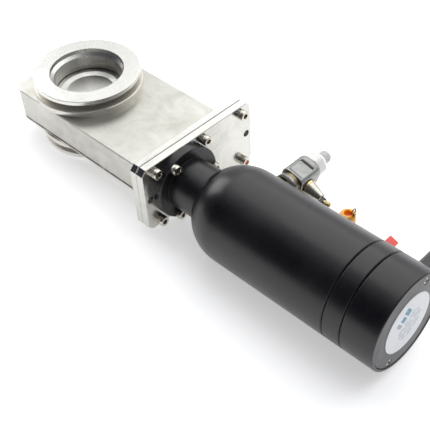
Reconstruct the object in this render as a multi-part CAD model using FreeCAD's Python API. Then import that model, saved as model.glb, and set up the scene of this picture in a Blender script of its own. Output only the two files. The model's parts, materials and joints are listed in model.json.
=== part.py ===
"""Pneumatic high-vacuum gate valve with two 50 mm quick-clamp ports.

The frame: X runs from the port axis towards the actuator, Y towards the side
that carries the air fittings, Z up along the port axis. The origin is the
centre of the lower port's sealing face. All sizes are in millimetres, and the
valve is drawn closed.
"""
import FreeCAD
import Part
import math
import os

# ---- ports ---------------------------------------------------------------
face_to_face = 49.4
port_bore_r = 24.0
port_wall = 3.6
port_flange_overhang = 9.9
port_rim_t = 3.0
port_taper_deg = 15.0
port_recess_step = 2.1
port_recess_depth = 3.0
collar_overhang = 11.2
collar_t = 4.3
collar_flat_deg = -27.0
collar_flat_depth = 0.55
collar_edge = 0.5

# ---- body ----------------------------------------------------------------
body_half_t = 12.6
body_corner_r = 9.0
body_edge_r = 0.8
body_side_wall = 5.0
body_top_wall = 3.1
base_plate_t = 2.1
chamber_side_room = 3.7
chamber_far_room = 4.9
chamber_near_room = 0.8
seam_groove_w = 0.5
seam_groove_depth = 0.8
weld_length = 2.7
weld_pitch = 18.9
weld_first_x = -2.0
weld_proud = 0.15

# ---- end plates ----------------------------------------------------------
body_flange_t = 5.2
seal_gap = 0.3
bonnet_t = 5.8
plate_side_overhang = 11.2
plate_top_overhang = 12.6
plate_corner_cut = 3.6
plate_edge = 0.4
plate_screw_side_inset = 9.9
plate_screw_top_inset = 5.0
plate_mid_screw_y = 4.4
jack_hole_inset = 4.6
jack_hole_r = 2.5
jack_hole_depth = 5.0
bonnet_seal_r = 1.2
bonnet_seal_inset = 4.2
throat_side_lip = 0.7
throat_top_lip = 3.6

# ---- M4 socket-head screws and lock washers --------------------------------
m4_shank_r = 2.0
m4_hole_gap = 0.2
m4_head_step = 1.5
m4_head_h = 4.0
m4_socket_af = 3.0
m4_socket_depth = 2.0
m4_clear_gap = 0.3
screw_edge = 0.3
lock_washer_t = 1.1
lock_washer_r = 3.4
lock_washer_gap = 0.8
screw_grip = 9.0

# ---- actuator ------------------------------------------------------------
actuator_y = -16.6
barrel_r = 32.4
shoulder_r = 32.0
shoulder_offset = 48.0
barrel_floor_offset = 8.5
barrel_length = 88.9
barrel_wall = 4.4
barrel_seam = 0.4
head_ring_t = 12.3
head_spigot = 4.5
rear_housing_length = 22.7
rear_housing_wall = 3.0
rear_rim_wall = 1.9
cover_t = 3.6
cover_gap = 0.15
cover_inset = 0.3
cover_screw_inset = 5.4
cover_screw_deg = 60.0
cover_head_r = 2.25
cover_head_h = 2.2
cover_shank_r = 1.25
cover_screw_grip = 8.0
cover_socket_af = 2.0
cover_head_gap = 0.2
cover_post_r = 2.3
label_r = 20.2
label_t = 0.3
actuator_flange_r = 25.2
actuator_flange_t = 6.4
actuator_neck_r = 18.0
actuator_spigot_wall = 5.0
actuator_spigot_length = 15.0
pilot_wall = 3.0
pilot_length = 2.5
flange_screw_circle_r = 22.0
flange_screw_first_deg = 0.0
barrel_edge = 0.6

# ---- shaft, piston and their fits -------------------------------------------
shaft_r = 5.0
shaft_thread_r = 3.5
running_gap = 0.04
close_gap = 0.05
shaft_clear_gap = 1.0
shaft_end_proud = 1.0
bush_wall = 4.0
bush_length = 30.0
shaft_seal_t = 2.6
seal_spacer_t = 2.0
piston_t = 18.0
piston_front_gap = 3.0
piston_gap = 0.08
piston_seal_w = 3.2
piston_seal_depth = 3.0
wear_ring_w = 4.0
wear_ring_depth = 1.6
piston_nut_af = 13.0
piston_nut_t = 5.0
head_seal_r = 1.0

# ---- gate ----------------------------------------------------------------
gate_overlap = 5.0
gate_open_margin = 4.0
gate_t = 5.2
gate_seat_gap = 0.7
gate_dish_inset = 3.5
gate_dish_slope = 3.6
gate_dish_depth = 1.2
gate_seal_offset = 2.2
gate_seal_section = 1.2
gate_seal_proud = 0.5
carriage_t = 5.4
carriage_side_gap = 1.3
carriage_far_x = -20.0
carriage_tail = 13.0
cheek_length = 8.0
cheek_t = 4.0
boss_half_w = 9.0
boss_half_h = 6.5
boss_length = 12.0
counter_plate_inset = 2.0
counter_plate_t = 2.6
counter_plate_drop = 4.2
spring_t = 0.5
spring_w = 8.0
spring_half_length = 18.0
spring_y = 12.0
roller_r = 4.0
roller_w = 3.6
roller_floor_gap = 0.3
roller_x_offsets = {"front": -14.0, "rear": 34.0}
axle_r = 1.5
axle_side_gap = 0.4
gate_screw_circle_r = 15.0
gate_screw_r = 1.5

# ---- speed controller --------------------------------------------------------
controller_offset = 1.5
stud_r = 4.8
stud_hex_af = 15.2
stud_hex_t = 4.2
stud_engagement = 9.0
stud_spot_gap = 0.6
washer_stack_r = 8.9
washer_stack_t = 2.2
washer_step_r = 0.2
controller_body_r = 9.2
controller_body_length = 19.6
controller_pad_half_w = 7.4
controller_turn_deg = 14.0
air_passage_r = 1.5
air_relief_step = 0.3
air_relief_depth = 1.0
outlet_y_offset = 6.5
outlet_base_r = 5.4
outlet_tip_r = 2.8
outlet_length = 10.8
outlet_ring_r = 5.7
outlet_ring_t = 1.2
outlet_hole_r = 2.1
needle_nut_af = 15.2
needle_nut_round_r = 8.3
needle_nut_t = 6.4
needle_cone_t = 3.6
needle_cone_tip_r = 5.2
needle_r = 2.6
needle_length = 14.0
needle_point_length = 3.9
needle_point_r = 0.9
knob_r = 4.3
knob_t = 6.6
knob_gap = 1.1
knob_edge_r = 1.4
knob_groove_count = 12
knob_groove_r = 0.3
knob_groove_length = 4.6

# ---- small fittings on the barrel and the rear housing ----------------------
breather_offset = 27.6
breather_r = 2.0
breather_reach = 13.0
breather_arm_r = 1.7
breather_arm_length = 2.4
breather_tip_r = 2.0
cap_offset = 48.0
cap_rise = 11.0
cap_drop = 0.9
cap_r = 5.3
cap_t = 8.0
cap_edge_r = 2.2
cap_recess_r = 2.6
cap_recess_floor_r = 1.8
cap_recess_depth = 2.2
cap_stub_r = 3.4
pull_ring_r = 2.0
pull_ring_wire_r = 0.45
pull_ring_deg = 10.0
pull_ring_rise = 1.0
ear_offset = 3.8
ear_r = 1.3
ear_t = 1.0
ear_root = 1.8
ear_hole_gap = 0.25
red_plug_inset = 8.6
red_plug_drop = 2.4
red_plug_stem_r = 2.2
red_plug_w = 6.6
red_plug_reach = 14.4
red_plug_turn_deg = 20.0
inlet_offset = 9.1
inlet_r = 8.0
inlet_reach = 18.0
inlet_flange_r = 8.9
inlet_flange_t = 3.0
inlet_socket_r = 6.4
inlet_spot_depth = 1.8
inlet_tail_r = 6.8
inlet_tail_length = 4.0
inlet_socket_depth = 3.0
inlet_well_r = 5.4
inlet_well_depth = 6.0
pin_r = 0.8
pin_length = 5.4
pin_circle_r = 3.6
pin_count = 5
switch_length = 12.0
switch_w = 8.0
switch_h = 10.0
switch_offsets = (-12.0, 4.0)
bracket_t = 1.6
bracket_half_h = 14.0
bracket_low_reach = 18.0
bracket_high_reach = 14.0
coil_r = 5.0
coil_length = 13.0
fitting_seat = 0.9

# ---- derived places --------------------------------------------------------
port_neck_r = port_bore_r + port_wall
port_flange_r = port_neck_r + port_flange_overhang
port_recess_r = port_bore_r + port_recess_step
collar_r = port_neck_r + collar_overhang
m4_hole_r = m4_shank_r + m4_hole_gap
m4_head_r = m4_shank_r + m4_head_step
gate_r = port_bore_r + gate_overlap
stroke = gate_r + port_bore_r + gate_open_margin
gate_dish_r = port_bore_r - gate_dish_inset
gate_seal_r = port_bore_r + gate_seal_offset
counter_plate_r = port_bore_r - counter_plate_inset
chamber_half_w = gate_r + chamber_side_room
chamber_far_x = -gate_r - chamber_far_room
carriage_near_x = gate_r + carriage_tail
roller_space = roller_w + 2 * axle_side_gap
carriage_half_w = chamber_half_w - carriage_side_gap - roller_space
body_half_w = chamber_half_w + body_side_wall
body_far_x = chamber_far_x - body_side_wall
body_near_x = carriage_near_x + stroke + chamber_near_room
mid_z = face_to_face / 2
body_top_z = mid_z + body_half_t
body_bottom_z = mid_z - body_half_t
seam_z = body_bottom_z + base_plate_t
chamber_top_z = body_top_z - body_top_wall
plate_half_w = body_half_w + plate_side_overhang
plate_half_h = body_half_t + plate_top_overhang
plate_screw_y = plate_half_w - plate_screw_side_inset
plate_screw_z = plate_half_h - plate_screw_top_inset
jack_hole_y = plate_half_w - jack_hole_inset
throat_half_w = chamber_half_w - throat_side_lip
throat_half_h = body_half_t - throat_top_lip
bonnet_back_x = body_near_x + body_flange_t + seal_gap
bonnet_front_x = bonnet_back_x + bonnet_t
flange_front_x = bonnet_front_x + actuator_flange_t
bush_r = shaft_r + bush_wall
pilot_r = bush_r + pilot_wall
actuator_spigot_r = bush_r + actuator_spigot_wall
shoulder_x = flange_front_x + shoulder_offset
shoulder_centre_r = barrel_r - shoulder_r
neck_end_x = shoulder_x - math.sqrt(shoulder_r ** 2 - (actuator_neck_r - shoulder_centre_r) ** 2)
barrel_bore_r = barrel_r - barrel_wall
barrel_front_x = shoulder_x - barrel_floor_offset
barrel_end_x = shoulder_x + barrel_length
piston_start_x = barrel_front_x + piston_front_gap
head_start_x = barrel_end_x + barrel_seam
head_end_x = head_start_x + head_ring_t
housing_start_x = head_end_x + barrel_seam
housing_end_x = housing_start_x + rear_housing_length
cover_end_x = housing_end_x - cover_inset
cover_screw_circle_r = barrel_r - cover_screw_inset
side_y = actuator_y + barrel_r
barrel_wall_y = actuator_y + barrel_bore_r
controller_x = shoulder_x + controller_offset
controller_start_y = side_y + stud_hex_t + 3 * washer_stack_t
controller_end_y = controller_start_y + controller_body_length
outlet_y = controller_start_y + outlet_y_offset
needle_tip_y = controller_end_y + needle_nut_t + needle_cone_t + knob_gap
breather_x = shoulder_x + breather_offset
cap_x = shoulder_x + cap_offset
cap_y = side_y + cap_rise
cap_z = mid_z - cap_drop
red_plug_x = barrel_end_x - red_plug_inset
red_plug_z = mid_z - red_plug_drop
inlet_x = housing_start_x + inlet_offset
gate_top_z = chamber_top_z - gate_seat_gap
gate_bottom_z = gate_top_z - gate_t
carriage_bottom_z = gate_bottom_z - carriage_t
counter_top_z = carriage_bottom_z - counter_plate_drop
roller_z = seam_z + roller_floor_gap + roller_r
AXES = {
    "x": FreeCAD.Vector(1, 0, 0),
    "y": FreeCAD.Vector(0, 1, 0),
    "z": FreeCAD.Vector(0, 0, 1),
}


def point(x, y, z):
    """Return a vector in the row frame."""
    return FreeCAD.Vector(x, y, z)


def rod(radius, length, x, y, z, axis="x"):
    """Return a cylinder that starts at the point and runs along an axis."""
    return Part.makeCylinder(radius, length, point(x, y, z), AXES[axis])


def pipe(outer_r, inner_r, length, x, y, z, axis="x"):
    """Return a straight tube that starts at the point."""
    return rod(outer_r, length, x, y, z, axis).cut(rod(inner_r, length, x, y, z, axis))


def cone(start_r, end_r, length, x, y, z, axis="x"):
    """Return a truncated cone that starts at the point."""
    return Part.makeCone(start_r, end_r, length, point(x, y, z), AXES[axis])


def block(x0, x1, y0, y1, z0, z1):
    """Return a box between two corners."""
    return Part.makeBox(x1 - x0, y1 - y0, z1 - z0, point(x0, y0, z0))


def hexagon(across_flats, length, x, y, z, axis="x"):
    """Return a hexagonal prism that starts at the point."""
    radius = across_flats / math.sqrt(3)
    corners = []
    for step in range(7):
        angle = math.radians(60 * step)
        corners.append(point(radius * math.cos(angle), radius * math.sin(angle), 0))
    prism = Part.Face(Part.makePolygon(corners)).extrude(point(0, 0, length))
    turn = FreeCAD.Rotation(AXES["z"], AXES[axis])
    prism.Placement = FreeCAD.Placement(point(x, y, z), turn)
    return prism


def ring_section(centre_r, section_r, x, y, z, axis="x"):
    """Return an O-ring whose centre is at the point."""
    return Part.makeTorus(centre_r, section_r, point(x, y, z), AXES[axis])


def spun_z(profile):
    """Return the solid made by turning a closed (r, z) outline about the port axis."""
    corners = []
    for radius, height in profile:
        corners.append(point(radius, 0, height))
    corners.append(corners[0])
    return Part.Face(Part.makePolygon(corners)).revolve(point(0, 0, 0), AXES["z"], 360)


def upside_down(shape):
    """Return a copy turned over about the X line through the middle of the valve."""
    copy = shape.copy()
    copy.rotate(point(0, 0, mid_z), AXES["x"], 180)
    return copy


def edges_along(shape, axis):
    """Return the straight edges that run along an axis."""
    found = []
    for edge in shape.Edges:
        if edge.Curve.TypeId == "Part::GeomLine":
            if abs(abs(edge.tangentAt(edge.FirstParameter).dot(AXES[axis])) - 1) < 1e-6:
                found.append(edge)
    return found


def edges_at(shape, axis, value):
    """Return the edges that lie wholly at one value of x, y or z."""
    found = []
    for edge in shape.Edges:
        box = edge.BoundBox
        low = getattr(box, axis.upper() + "Min")
        high = getattr(box, axis.upper() + "Max")
        if abs(low - value) < 1e-4 and abs(high - value) < 1e-4:
            found.append(edge)
    return found


def socket_screw(x, y, z, shank_r, head_r, head_h, grip, socket_af, socket_depth):
    """Return a socket-head screw along -X whose head rests on the plane at x."""
    head = rod(head_r, head_h, x, y, z)
    head = head.makeChamfer(screw_edge, edges_at(head, "x", x + head_h))
    shank = rod(shank_r, grip, x - grip, y, z)
    socket = hexagon(socket_af, socket_depth, x + head_h - socket_depth, y, z)
    return head.fuse(shank).cut(socket)


def plate_screw_places():
    """Return the (y, z) centres of the six bonnet screws."""
    places = []
    for side_z in (1, -1):
        for screw_y in (-plate_screw_y, plate_mid_screw_y, plate_screw_y):
            places.append((screw_y, mid_z + side_z * plate_screw_z))
    return places


def circle_places(circle_r, count, first_deg):
    """Return (y, z) centres on a circle about the actuator axis."""
    places = []
    for index in range(count):
        angle = math.radians(first_deg + 360 * index / count)
        places.append((actuator_y + circle_r * math.cos(angle), mid_z + circle_r * math.sin(angle)))
    return places


# ---- ports ---------------------------------------------------------------
def port_flange():
    """Return the upper port's neck and quick-clamp flange."""
    rim_low_z = face_to_face - port_rim_t
    taper_drop = (port_flange_r - port_neck_r) * math.tan(math.radians(port_taper_deg))
    recess_z = face_to_face - port_recess_depth
    step = port_recess_r - port_bore_r
    return spun_z([
        (port_bore_r, body_top_z),
        (port_neck_r, body_top_z),
        (port_neck_r, rim_low_z - taper_drop),
        (port_flange_r, rim_low_z),
        (port_flange_r, face_to_face - collar_edge / 2),
        (port_flange_r - collar_edge / 2, face_to_face),
        (port_recess_r, face_to_face),
        (port_recess_r, recess_z),
        (port_bore_r, recess_z - step),
    ])


def port_collar():
    """Return the upper port's backing collar, with the flat on its rim."""
    collar = pipe(collar_r, port_neck_r + close_gap, collar_t, 0, 0, body_top_z, "z")
    collar = collar.makeChamfer(collar_edge, edges_at(collar, "z", body_top_z + collar_t)[:1])
    flat = block(collar_r - collar_flat_depth, 2 * collar_r, -collar_r, collar_r, body_top_z,
                 body_top_z + collar_t)
    flat.rotate(point(0, 0, 0), AXES["z"], collar_flat_deg)
    return collar.cut(flat)


# ---- body ----------------------------------------------------------------
def body_outline(low_z, high_z):
    """Return a slab with the body's outline and rounded far corners."""
    slab = block(body_far_x, body_near_x, -body_half_w, body_half_w, low_z, high_z)
    corners = []
    for edge in edges_along(slab, "z"):
        if abs(edge.BoundBox.XMin - body_far_x) < 1e-4:
            corners.append(edge)
    return slab.makeFillet(body_corner_r, corners)


def weld_places():
    """Return the x of each stitch weld along a body side."""
    places = []
    weld_x = weld_first_x
    while weld_x < body_near_x - weld_length:
        places.append(weld_x)
        weld_x += weld_pitch
    return places


def body_shell():
    """Return the machined body: top, sides and far end round the gate chamber."""
    shell = body_outline(seam_z, body_top_z)
    rim = [edge for edge in edges_at(shell, "z", body_top_z)
           if abs(edge.BoundBox.XMin - body_near_x) > 1e-4]
    shell = shell.makeFillet(body_edge_r, rim)
    chamber = block(chamber_far_x, body_near_x, -chamber_half_w, chamber_half_w, seam_z, chamber_top_z)
    inner = [edge for edge in edges_along(chamber, "z") if edge.BoundBox.XMax < body_near_x - 1e-4]
    shell = shell.cut(chamber.makeFillet(body_corner_r - body_side_wall, inner))
    shell = shell.cut(rod(port_bore_r, body_top_wall, 0, 0, chamber_top_z, "z"))
    outer = body_outline(seam_z, seam_z + seam_groove_w)
    inner_slab = block(body_far_x + seam_groove_depth, body_near_x, -body_half_w + seam_groove_depth,
                       body_half_w - seam_groove_depth, seam_z, seam_z + seam_groove_w)
    inner_corners = [edge for edge in edges_along(inner_slab, "z") if edge.BoundBox.XMin < 0]
    inner_slab = inner_slab.makeFillet(body_corner_r - seam_groove_depth, inner_corners)
    return shell.cut(outer.cut(inner_slab))


def base_plate():
    """Return the plate welded under the body."""
    plate = body_outline(body_bottom_z, seam_z)
    return plate.cut(rod(port_bore_r, base_plate_t, 0, 0, body_bottom_z, "z"))


def stitch_welds():
    """Return the short weld beads that fill the seam groove along both sides."""
    beads = []
    depth = seam_groove_depth + weld_proud
    for weld_x in weld_places():
        for side in (-1, 1):
            inner_y = side * (body_half_w - seam_groove_depth)
            outer_y = inner_y + side * depth
            bead = block(weld_x - weld_length / 2, weld_x + weld_length / 2, min(inner_y, outer_y),
                         max(inner_y, outer_y), seam_z, seam_z + seam_groove_w)
            beads.append(bead)
    return Part.makeCompound(beads)


# ---- end plates ----------------------------------------------------------
def end_plate(start_x, thickness):
    """Return a plain end plate with cut corners and broken edges."""
    plate = block(start_x, start_x + thickness, -plate_half_w, plate_half_w, mid_z - plate_half_h,
                  mid_z + plate_half_h)
    plate = plate.makeChamfer(plate_corner_cut, edges_along(plate, "x"))
    rim = edges_at(plate, "x", start_x) + edges_at(plate, "x", start_x + thickness)
    return plate.makeChamfer(plate_edge, rim)


def body_flange():
    """Return the plate welded to the body, with its throat and tapped holes."""
    plate = end_plate(body_near_x, body_flange_t)
    throat = block(body_near_x, body_near_x + body_flange_t, -throat_half_w, throat_half_w,
                   mid_z - throat_half_h, mid_z + throat_half_h)
    plate = plate.cut(throat)
    for screw_y, screw_z in plate_screw_places():
        plate = plate.cut(rod(m4_shank_r, body_flange_t, body_near_x, screw_y, screw_z))
    return plate.cut(bonnet_seal_track(bonnet_seal_r + close_gap))


def bonnet_seal_track(section_r):
    """Return the solid of the seal that runs round the throat, for a section radius."""
    half_w = throat_half_w + bonnet_seal_inset / 2
    half_h = throat_half_h + bonnet_seal_inset / 2
    seal_x = body_near_x + body_flange_t + seal_gap - bonnet_seal_r
    corner = bonnet_seal_inset
    path = block(seal_x, seal_x + bonnet_seal_r, -half_w, half_w, mid_z - half_h, mid_z + half_h)
    path = path.makeFillet(corner, edges_along(path, "x"))
    spine = Part.Wire(Part.__sortEdges__(edges_at(path, "x", seal_x)))
    start = point(seal_x, 0, mid_z + half_h)
    section = Part.Wire([Part.makeCircle(section_r, start, AXES["y"])])
    return spine.makePipeShell([section], True, True)


def bonnet_plate():
    """Return the bonnet, with its pilot recess, shaft hole, screw holes and jack holes."""
    plate = end_plate(bonnet_back_x, bonnet_t)
    plate = plate.cut(rod(pilot_r + close_gap, pilot_length + close_gap,
                          bonnet_front_x - pilot_length - close_gap, actuator_y, mid_z))
    plate = plate.cut(rod(shaft_r + shaft_clear_gap, bonnet_t, bonnet_back_x, actuator_y, mid_z))
    for screw_y, screw_z in plate_screw_places():
        plate = plate.cut(rod(m4_hole_r, bonnet_t, bonnet_back_x, screw_y, screw_z))
    for side in (-1, 1):
        plate = plate.cut(rod(jack_hole_r, jack_hole_depth, bonnet_front_x - jack_hole_depth,
                              side * jack_hole_y, mid_z))
    for screw_y, screw_z in circle_places(flange_screw_circle_r, 3, flange_screw_first_deg):
        plate = plate.cut(rod(m4_shank_r, bonnet_t, bonnet_back_x, screw_y, screw_z))
    return plate


def m4_screws(places, seat_x):
    """Return a group of M4 screws whose lock washers sit on the plane at seat_x."""
    screws = []
    for screw_y, screw_z in places:
        screws.append(socket_screw(seat_x + lock_washer_t, screw_y, screw_z, m4_shank_r - close_gap,
                                   m4_head_r, m4_head_h, screw_grip, m4_socket_af, m4_socket_depth))
    return Part.makeCompound(screws)


def lock_washers(places, seat_x):
    """Return a group of split lock washers on the plane at seat_x."""
    washers = []
    for screw_y, screw_z in places:
        washer = pipe(lock_washer_r, m4_shank_r + close_gap, lock_washer_t, seat_x, screw_y, screw_z)
        split = block(seat_x, seat_x + lock_washer_t, screw_y - lock_washer_gap / 2,
                      screw_y + lock_washer_gap / 2, screw_z, screw_z + lock_washer_r)
        washers.append(washer.cut(split))
    return Part.makeCompound(washers)


# ---- actuator ------------------------------------------------------------
def actuator_flange():
    """Return the round flange with its neck, pilot, and spigot into the barrel."""
    body = rod(actuator_flange_r, actuator_flange_t, bonnet_front_x, actuator_y, mid_z)
    body = body.makeChamfer(plate_edge, edges_at(body, "x", flange_front_x))
    body = body.fuse(rod(pilot_r, pilot_length, bonnet_front_x - pilot_length, actuator_y, mid_z))
    body = body.fuse(rod(actuator_neck_r, neck_end_x - flange_front_x, flange_front_x, actuator_y, mid_z))
    body = body.fuse(rod(actuator_spigot_r, actuator_spigot_length, neck_end_x, actuator_y, mid_z))
    bore_end = neck_end_x + actuator_spigot_length
    body = body.cut(rod(bush_r + close_gap, bore_end - bonnet_front_x, bonnet_front_x, actuator_y, mid_z))
    body = body.cut(rod(shaft_r + shaft_clear_gap, pilot_length, bonnet_front_x - pilot_length, actuator_y,
                        mid_z))
    for screw_y, screw_z in circle_places(flange_screw_circle_r, 3, flange_screw_first_deg):
        body = body.cut(rod(m4_hole_r, actuator_flange_t, bonnet_front_x, screw_y, screw_z))
    for screw_y, screw_z in plate_screw_places():
        body = body.cut(rod(m4_head_r + m4_clear_gap, actuator_flange_t, bonnet_front_x, screw_y, screw_z))
    return body


def barrel():
    """Return the round-shouldered cylinder barrel with its air port holes."""
    hole_r = actuator_spigot_r + close_gap
    outline = [
        Part.LineSegment(point(neck_end_x, hole_r, 0), point(neck_end_x, actuator_neck_r, 0)),
        shoulder_arc(),
        Part.LineSegment(point(shoulder_x, barrel_r, 0), point(barrel_end_x - barrel_edge, barrel_r, 0)),
        Part.LineSegment(point(barrel_end_x - barrel_edge, barrel_r, 0),
                         point(barrel_end_x, barrel_r - barrel_edge, 0)),
        Part.LineSegment(point(barrel_end_x, barrel_r - barrel_edge, 0),
                         point(barrel_end_x, barrel_bore_r, 0)),
        Part.LineSegment(point(barrel_end_x, barrel_bore_r, 0), point(barrel_front_x, barrel_bore_r, 0)),
        Part.LineSegment(point(barrel_front_x, barrel_bore_r, 0), point(barrel_front_x, hole_r, 0)),
        Part.LineSegment(point(barrel_front_x, hole_r, 0), point(neck_end_x, hole_r, 0)),
    ]
    edges = [curve.toShape() for curve in outline]
    solid = Part.Face(Part.Wire(edges)).revolve(point(0, 0, 0), AXES["x"], 360)
    solid.translate(point(0, actuator_y, mid_z))
    ports = ((controller_x, mid_z, stud_r), (breather_x, mid_z, breather_r), (cap_x, cap_z, cap_stub_r),
             (red_plug_x, red_plug_z, red_plug_stem_r))
    for port_x, port_z, port_r in ports:
        solid = solid.cut(rod(port_r + close_gap, barrel_r, port_x, actuator_y, port_z, "y"))
    spot_r = stud_hex_af / math.sqrt(3) + stud_spot_gap
    return solid.cut(rod(spot_r, barrel_r, controller_x, side_y - fitting_seat, mid_z, "y"))


def shoulder_arc():
    """Return the arc of the barrel's shoulder, from the neck out to the full radius."""
    half_turn = math.acos((actuator_neck_r - shoulder_centre_r) / shoulder_r) / 2
    middle = point(shoulder_x - shoulder_r * math.sin(half_turn),
                   shoulder_centre_r + shoulder_r * math.cos(half_turn), 0)
    return Part.Arc(point(neck_end_x, actuator_neck_r, 0), middle, point(shoulder_x, barrel_r, 0))


def cylinder_head():
    """Return the head that closes the barrel."""
    head = rod(barrel_r, head_ring_t, head_start_x, actuator_y, mid_z)
    head = head.makeChamfer(barrel_edge, edges_at(head, "x", head_start_x) + edges_at(head, "x", head_end_x))
    spigot_start_x = head_start_x - head_spigot - barrel_seam
    spigot = rod(barrel_bore_r - close_gap, head_start_x - spigot_start_x, spigot_start_x, actuator_y, mid_z)
    head = head.fuse(spigot)
    groove_x = head_start_x - head_spigot / 2 - barrel_seam
    groove_r = barrel_bore_r - head_seal_r
    return head.cut(ring_section(groove_r, head_seal_r + close_gap, groove_x, actuator_y, mid_z))


def rear_housing():
    """Return the tube behind the head that houses the switches and the pilot valve."""
    housing = rod(barrel_r, rear_housing_length, housing_start_x, actuator_y, mid_z)
    housing = housing.makeChamfer(barrel_edge, edges_at(housing, "x", housing_start_x)
                                  + edges_at(housing, "x", housing_end_x))
    inside_r = barrel_r - rear_housing_wall
    housing = housing.cut(rod(inside_r, rear_housing_length, housing_start_x, actuator_y, mid_z))
    seat = rod(barrel_r - rear_rim_wall, cover_t + cover_inset, housing_end_x - cover_t - cover_inset,
               actuator_y, mid_z)
    housing = housing.cut(seat)
    housing = housing.cut(rod(inlet_tail_r + close_gap, barrel_r, inlet_x, actuator_y, mid_z, "y"))
    spot_r = inlet_flange_r + cover_gap
    return housing.cut(rod(spot_r, barrel_r, inlet_x, side_y - inlet_spot_depth, mid_z, "y"))


def cover_screw_places():
    """Return the (y, z) centres of the two cover screws."""
    return circle_places(cover_screw_circle_r, 2, cover_screw_deg)


def end_cover():
    """Return the rear cover disc with its counterbored screw holes."""
    cover_r = barrel_r - rear_rim_wall - cover_gap
    cover = rod(cover_r, cover_t, cover_end_x - cover_t, actuator_y, mid_z)
    cover = cover.makeChamfer(plate_edge, edges_at(cover, "x", cover_end_x))
    for screw_y, screw_z in cover_screw_places():
        cover = cover.cut(rod(cover_head_r + cover_head_gap, cover_t, cover_seat_x(), screw_y, screw_z))
        cover = cover.cut(rod(cover_shank_r + close_gap, cover_t, cover_end_x - cover_t, screw_y, screw_z))
    return cover


def cover_seat_x():
    """Return the x of the shoulder that the cover screws' heads rest on."""
    return cover_end_x - cover_head_h - cover_head_gap


def cover_screws():
    """Return the two cover screws, sunk in their counterbores."""
    screws = []
    for screw_y, screw_z in cover_screw_places():
        screws.append(socket_screw(cover_seat_x(), screw_y, screw_z, cover_shank_r, cover_head_r,
                                   cover_head_h, cover_screw_grip, cover_socket_af, cover_head_h / 2))
    return Part.makeCompound(screws)


def cover_posts():
    """Return the two tapped posts that the cover screws bite into."""
    posts = []
    length = cover_end_x - cover_t - housing_start_x
    for screw_y, screw_z in cover_screw_places():
        post = rod(cover_post_r, length, housing_start_x, screw_y, screw_z)
        thread = rod(cover_shank_r + close_gap, cover_screw_grip, cover_end_x - cover_t - cover_screw_grip,
                     screw_y, screw_z)
        posts.append(post.cut(thread))
    return Part.makeCompound(posts)


def label_disc():
    """Return the blank round label on the cover."""
    return rod(label_r, label_t, cover_end_x, actuator_y, mid_z)


# ---- shaft and piston --------------------------------------------------------
def shaft_bush():
    """Return the bronze bush that guides the shaft."""
    start = neck_end_x + actuator_spigot_length - bush_length
    return pipe(bush_r, shaft_r + running_gap, bush_length, start, actuator_y, mid_z)


def shaft_seals():
    """Return the two shaft seals in front of the bush."""
    rings = []
    for index in range(2):
        start = bonnet_front_x + index * (shaft_seal_t + seal_spacer_t)
        rings.append(pipe(bush_r, shaft_r + running_gap, shaft_seal_t, start, actuator_y, mid_z))
    return Part.makeCompound(rings)


def seal_spacer():
    """Return the ring between the two shaft seals."""
    return pipe(bush_r, shaft_r + 3 * running_gap, seal_spacer_t, bonnet_front_x + shaft_seal_t,
                actuator_y, mid_z)


def gate_shaft():
    """Return the shaft from the carriage boss to the piston nut."""
    start = carriage_near_x - boss_length / 2
    shaft = rod(shaft_r, piston_start_x - start, start, actuator_y, mid_z)
    thread_length = piston_t + piston_nut_t + shaft_end_proud
    return shaft.fuse(rod(shaft_thread_r, thread_length, piston_start_x, actuator_y, mid_z))


def piston():
    """Return the piston with its seal and wear-ring grooves."""
    piston_r = barrel_bore_r - piston_gap
    body = rod(piston_r, piston_t, piston_start_x, actuator_y, mid_z)
    body = body.makeChamfer(barrel_edge, edges_at(body, "x", piston_start_x)
                            + edges_at(body, "x", piston_start_x + piston_t))
    seal_x, wear_x = piston_groove_places()
    body = body.cut(pipe(piston_r, piston_r - piston_seal_depth, piston_seal_w, seal_x, actuator_y, mid_z))
    body = body.cut(pipe(piston_r, piston_r - wear_ring_depth, wear_ring_w, wear_x, actuator_y, mid_z))
    return body.cut(rod(shaft_thread_r, piston_t, piston_start_x, actuator_y, mid_z))


def piston_groove_places():
    """Return the x of the seal groove and of the wear-ring groove."""
    seal_x = piston_start_x + piston_t / 4 - piston_seal_w / 2
    wear_x = piston_start_x + piston_t * 3 / 4 - wear_ring_w / 2
    return seal_x, wear_x


def piston_seal():
    """Return the piston's square-cut rubber seal."""
    outer_r = barrel_bore_r - running_gap
    return pipe(outer_r, barrel_bore_r - piston_gap - piston_seal_depth, piston_seal_w,
                piston_groove_places()[0], actuator_y, mid_z)


def wear_ring():
    """Return the piston's guide ring."""
    outer_r = barrel_bore_r - running_gap
    return pipe(outer_r, barrel_bore_r - piston_gap - wear_ring_depth, wear_ring_w,
                piston_groove_places()[1], actuator_y, mid_z)


def piston_nut():
    """Return the hexagon nut behind the piston."""
    nut = hexagon(piston_nut_af, piston_nut_t, piston_start_x + piston_t, actuator_y, mid_z)
    return nut.cut(rod(shaft_thread_r, piston_nut_t, piston_start_x + piston_t, actuator_y, mid_z))


# ---- gate ----------------------------------------------------------------
def gate_plate():
    """Return the seal plate, with its dished face and seal groove."""
    plate = rod(gate_r, gate_t, 0, 0, gate_bottom_z, "z")
    plate = plate.makeChamfer(plate_edge, edges_at(plate, "z", gate_top_z))
    dish = cone(gate_dish_r - gate_dish_slope, gate_dish_r, gate_dish_depth, 0, 0,
                gate_top_z - gate_dish_depth, "z")
    plate = plate.cut(dish)
    width = gate_seal_section + close_gap
    groove = pipe(gate_seal_r + width, gate_seal_r - width, gate_t, 0, 0, gate_seal_z() - width, "z")
    plate = plate.cut(groove)
    for screw_x, screw_y in gate_screw_places():
        plate = plate.cut(rod(gate_screw_r, gate_t / 2, screw_x, screw_y, gate_bottom_z, "z"))
    return plate


def gate_seal_z():
    """Return the height of the gate seal's centre."""
    return gate_top_z + gate_seal_proud - gate_seal_section


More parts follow.
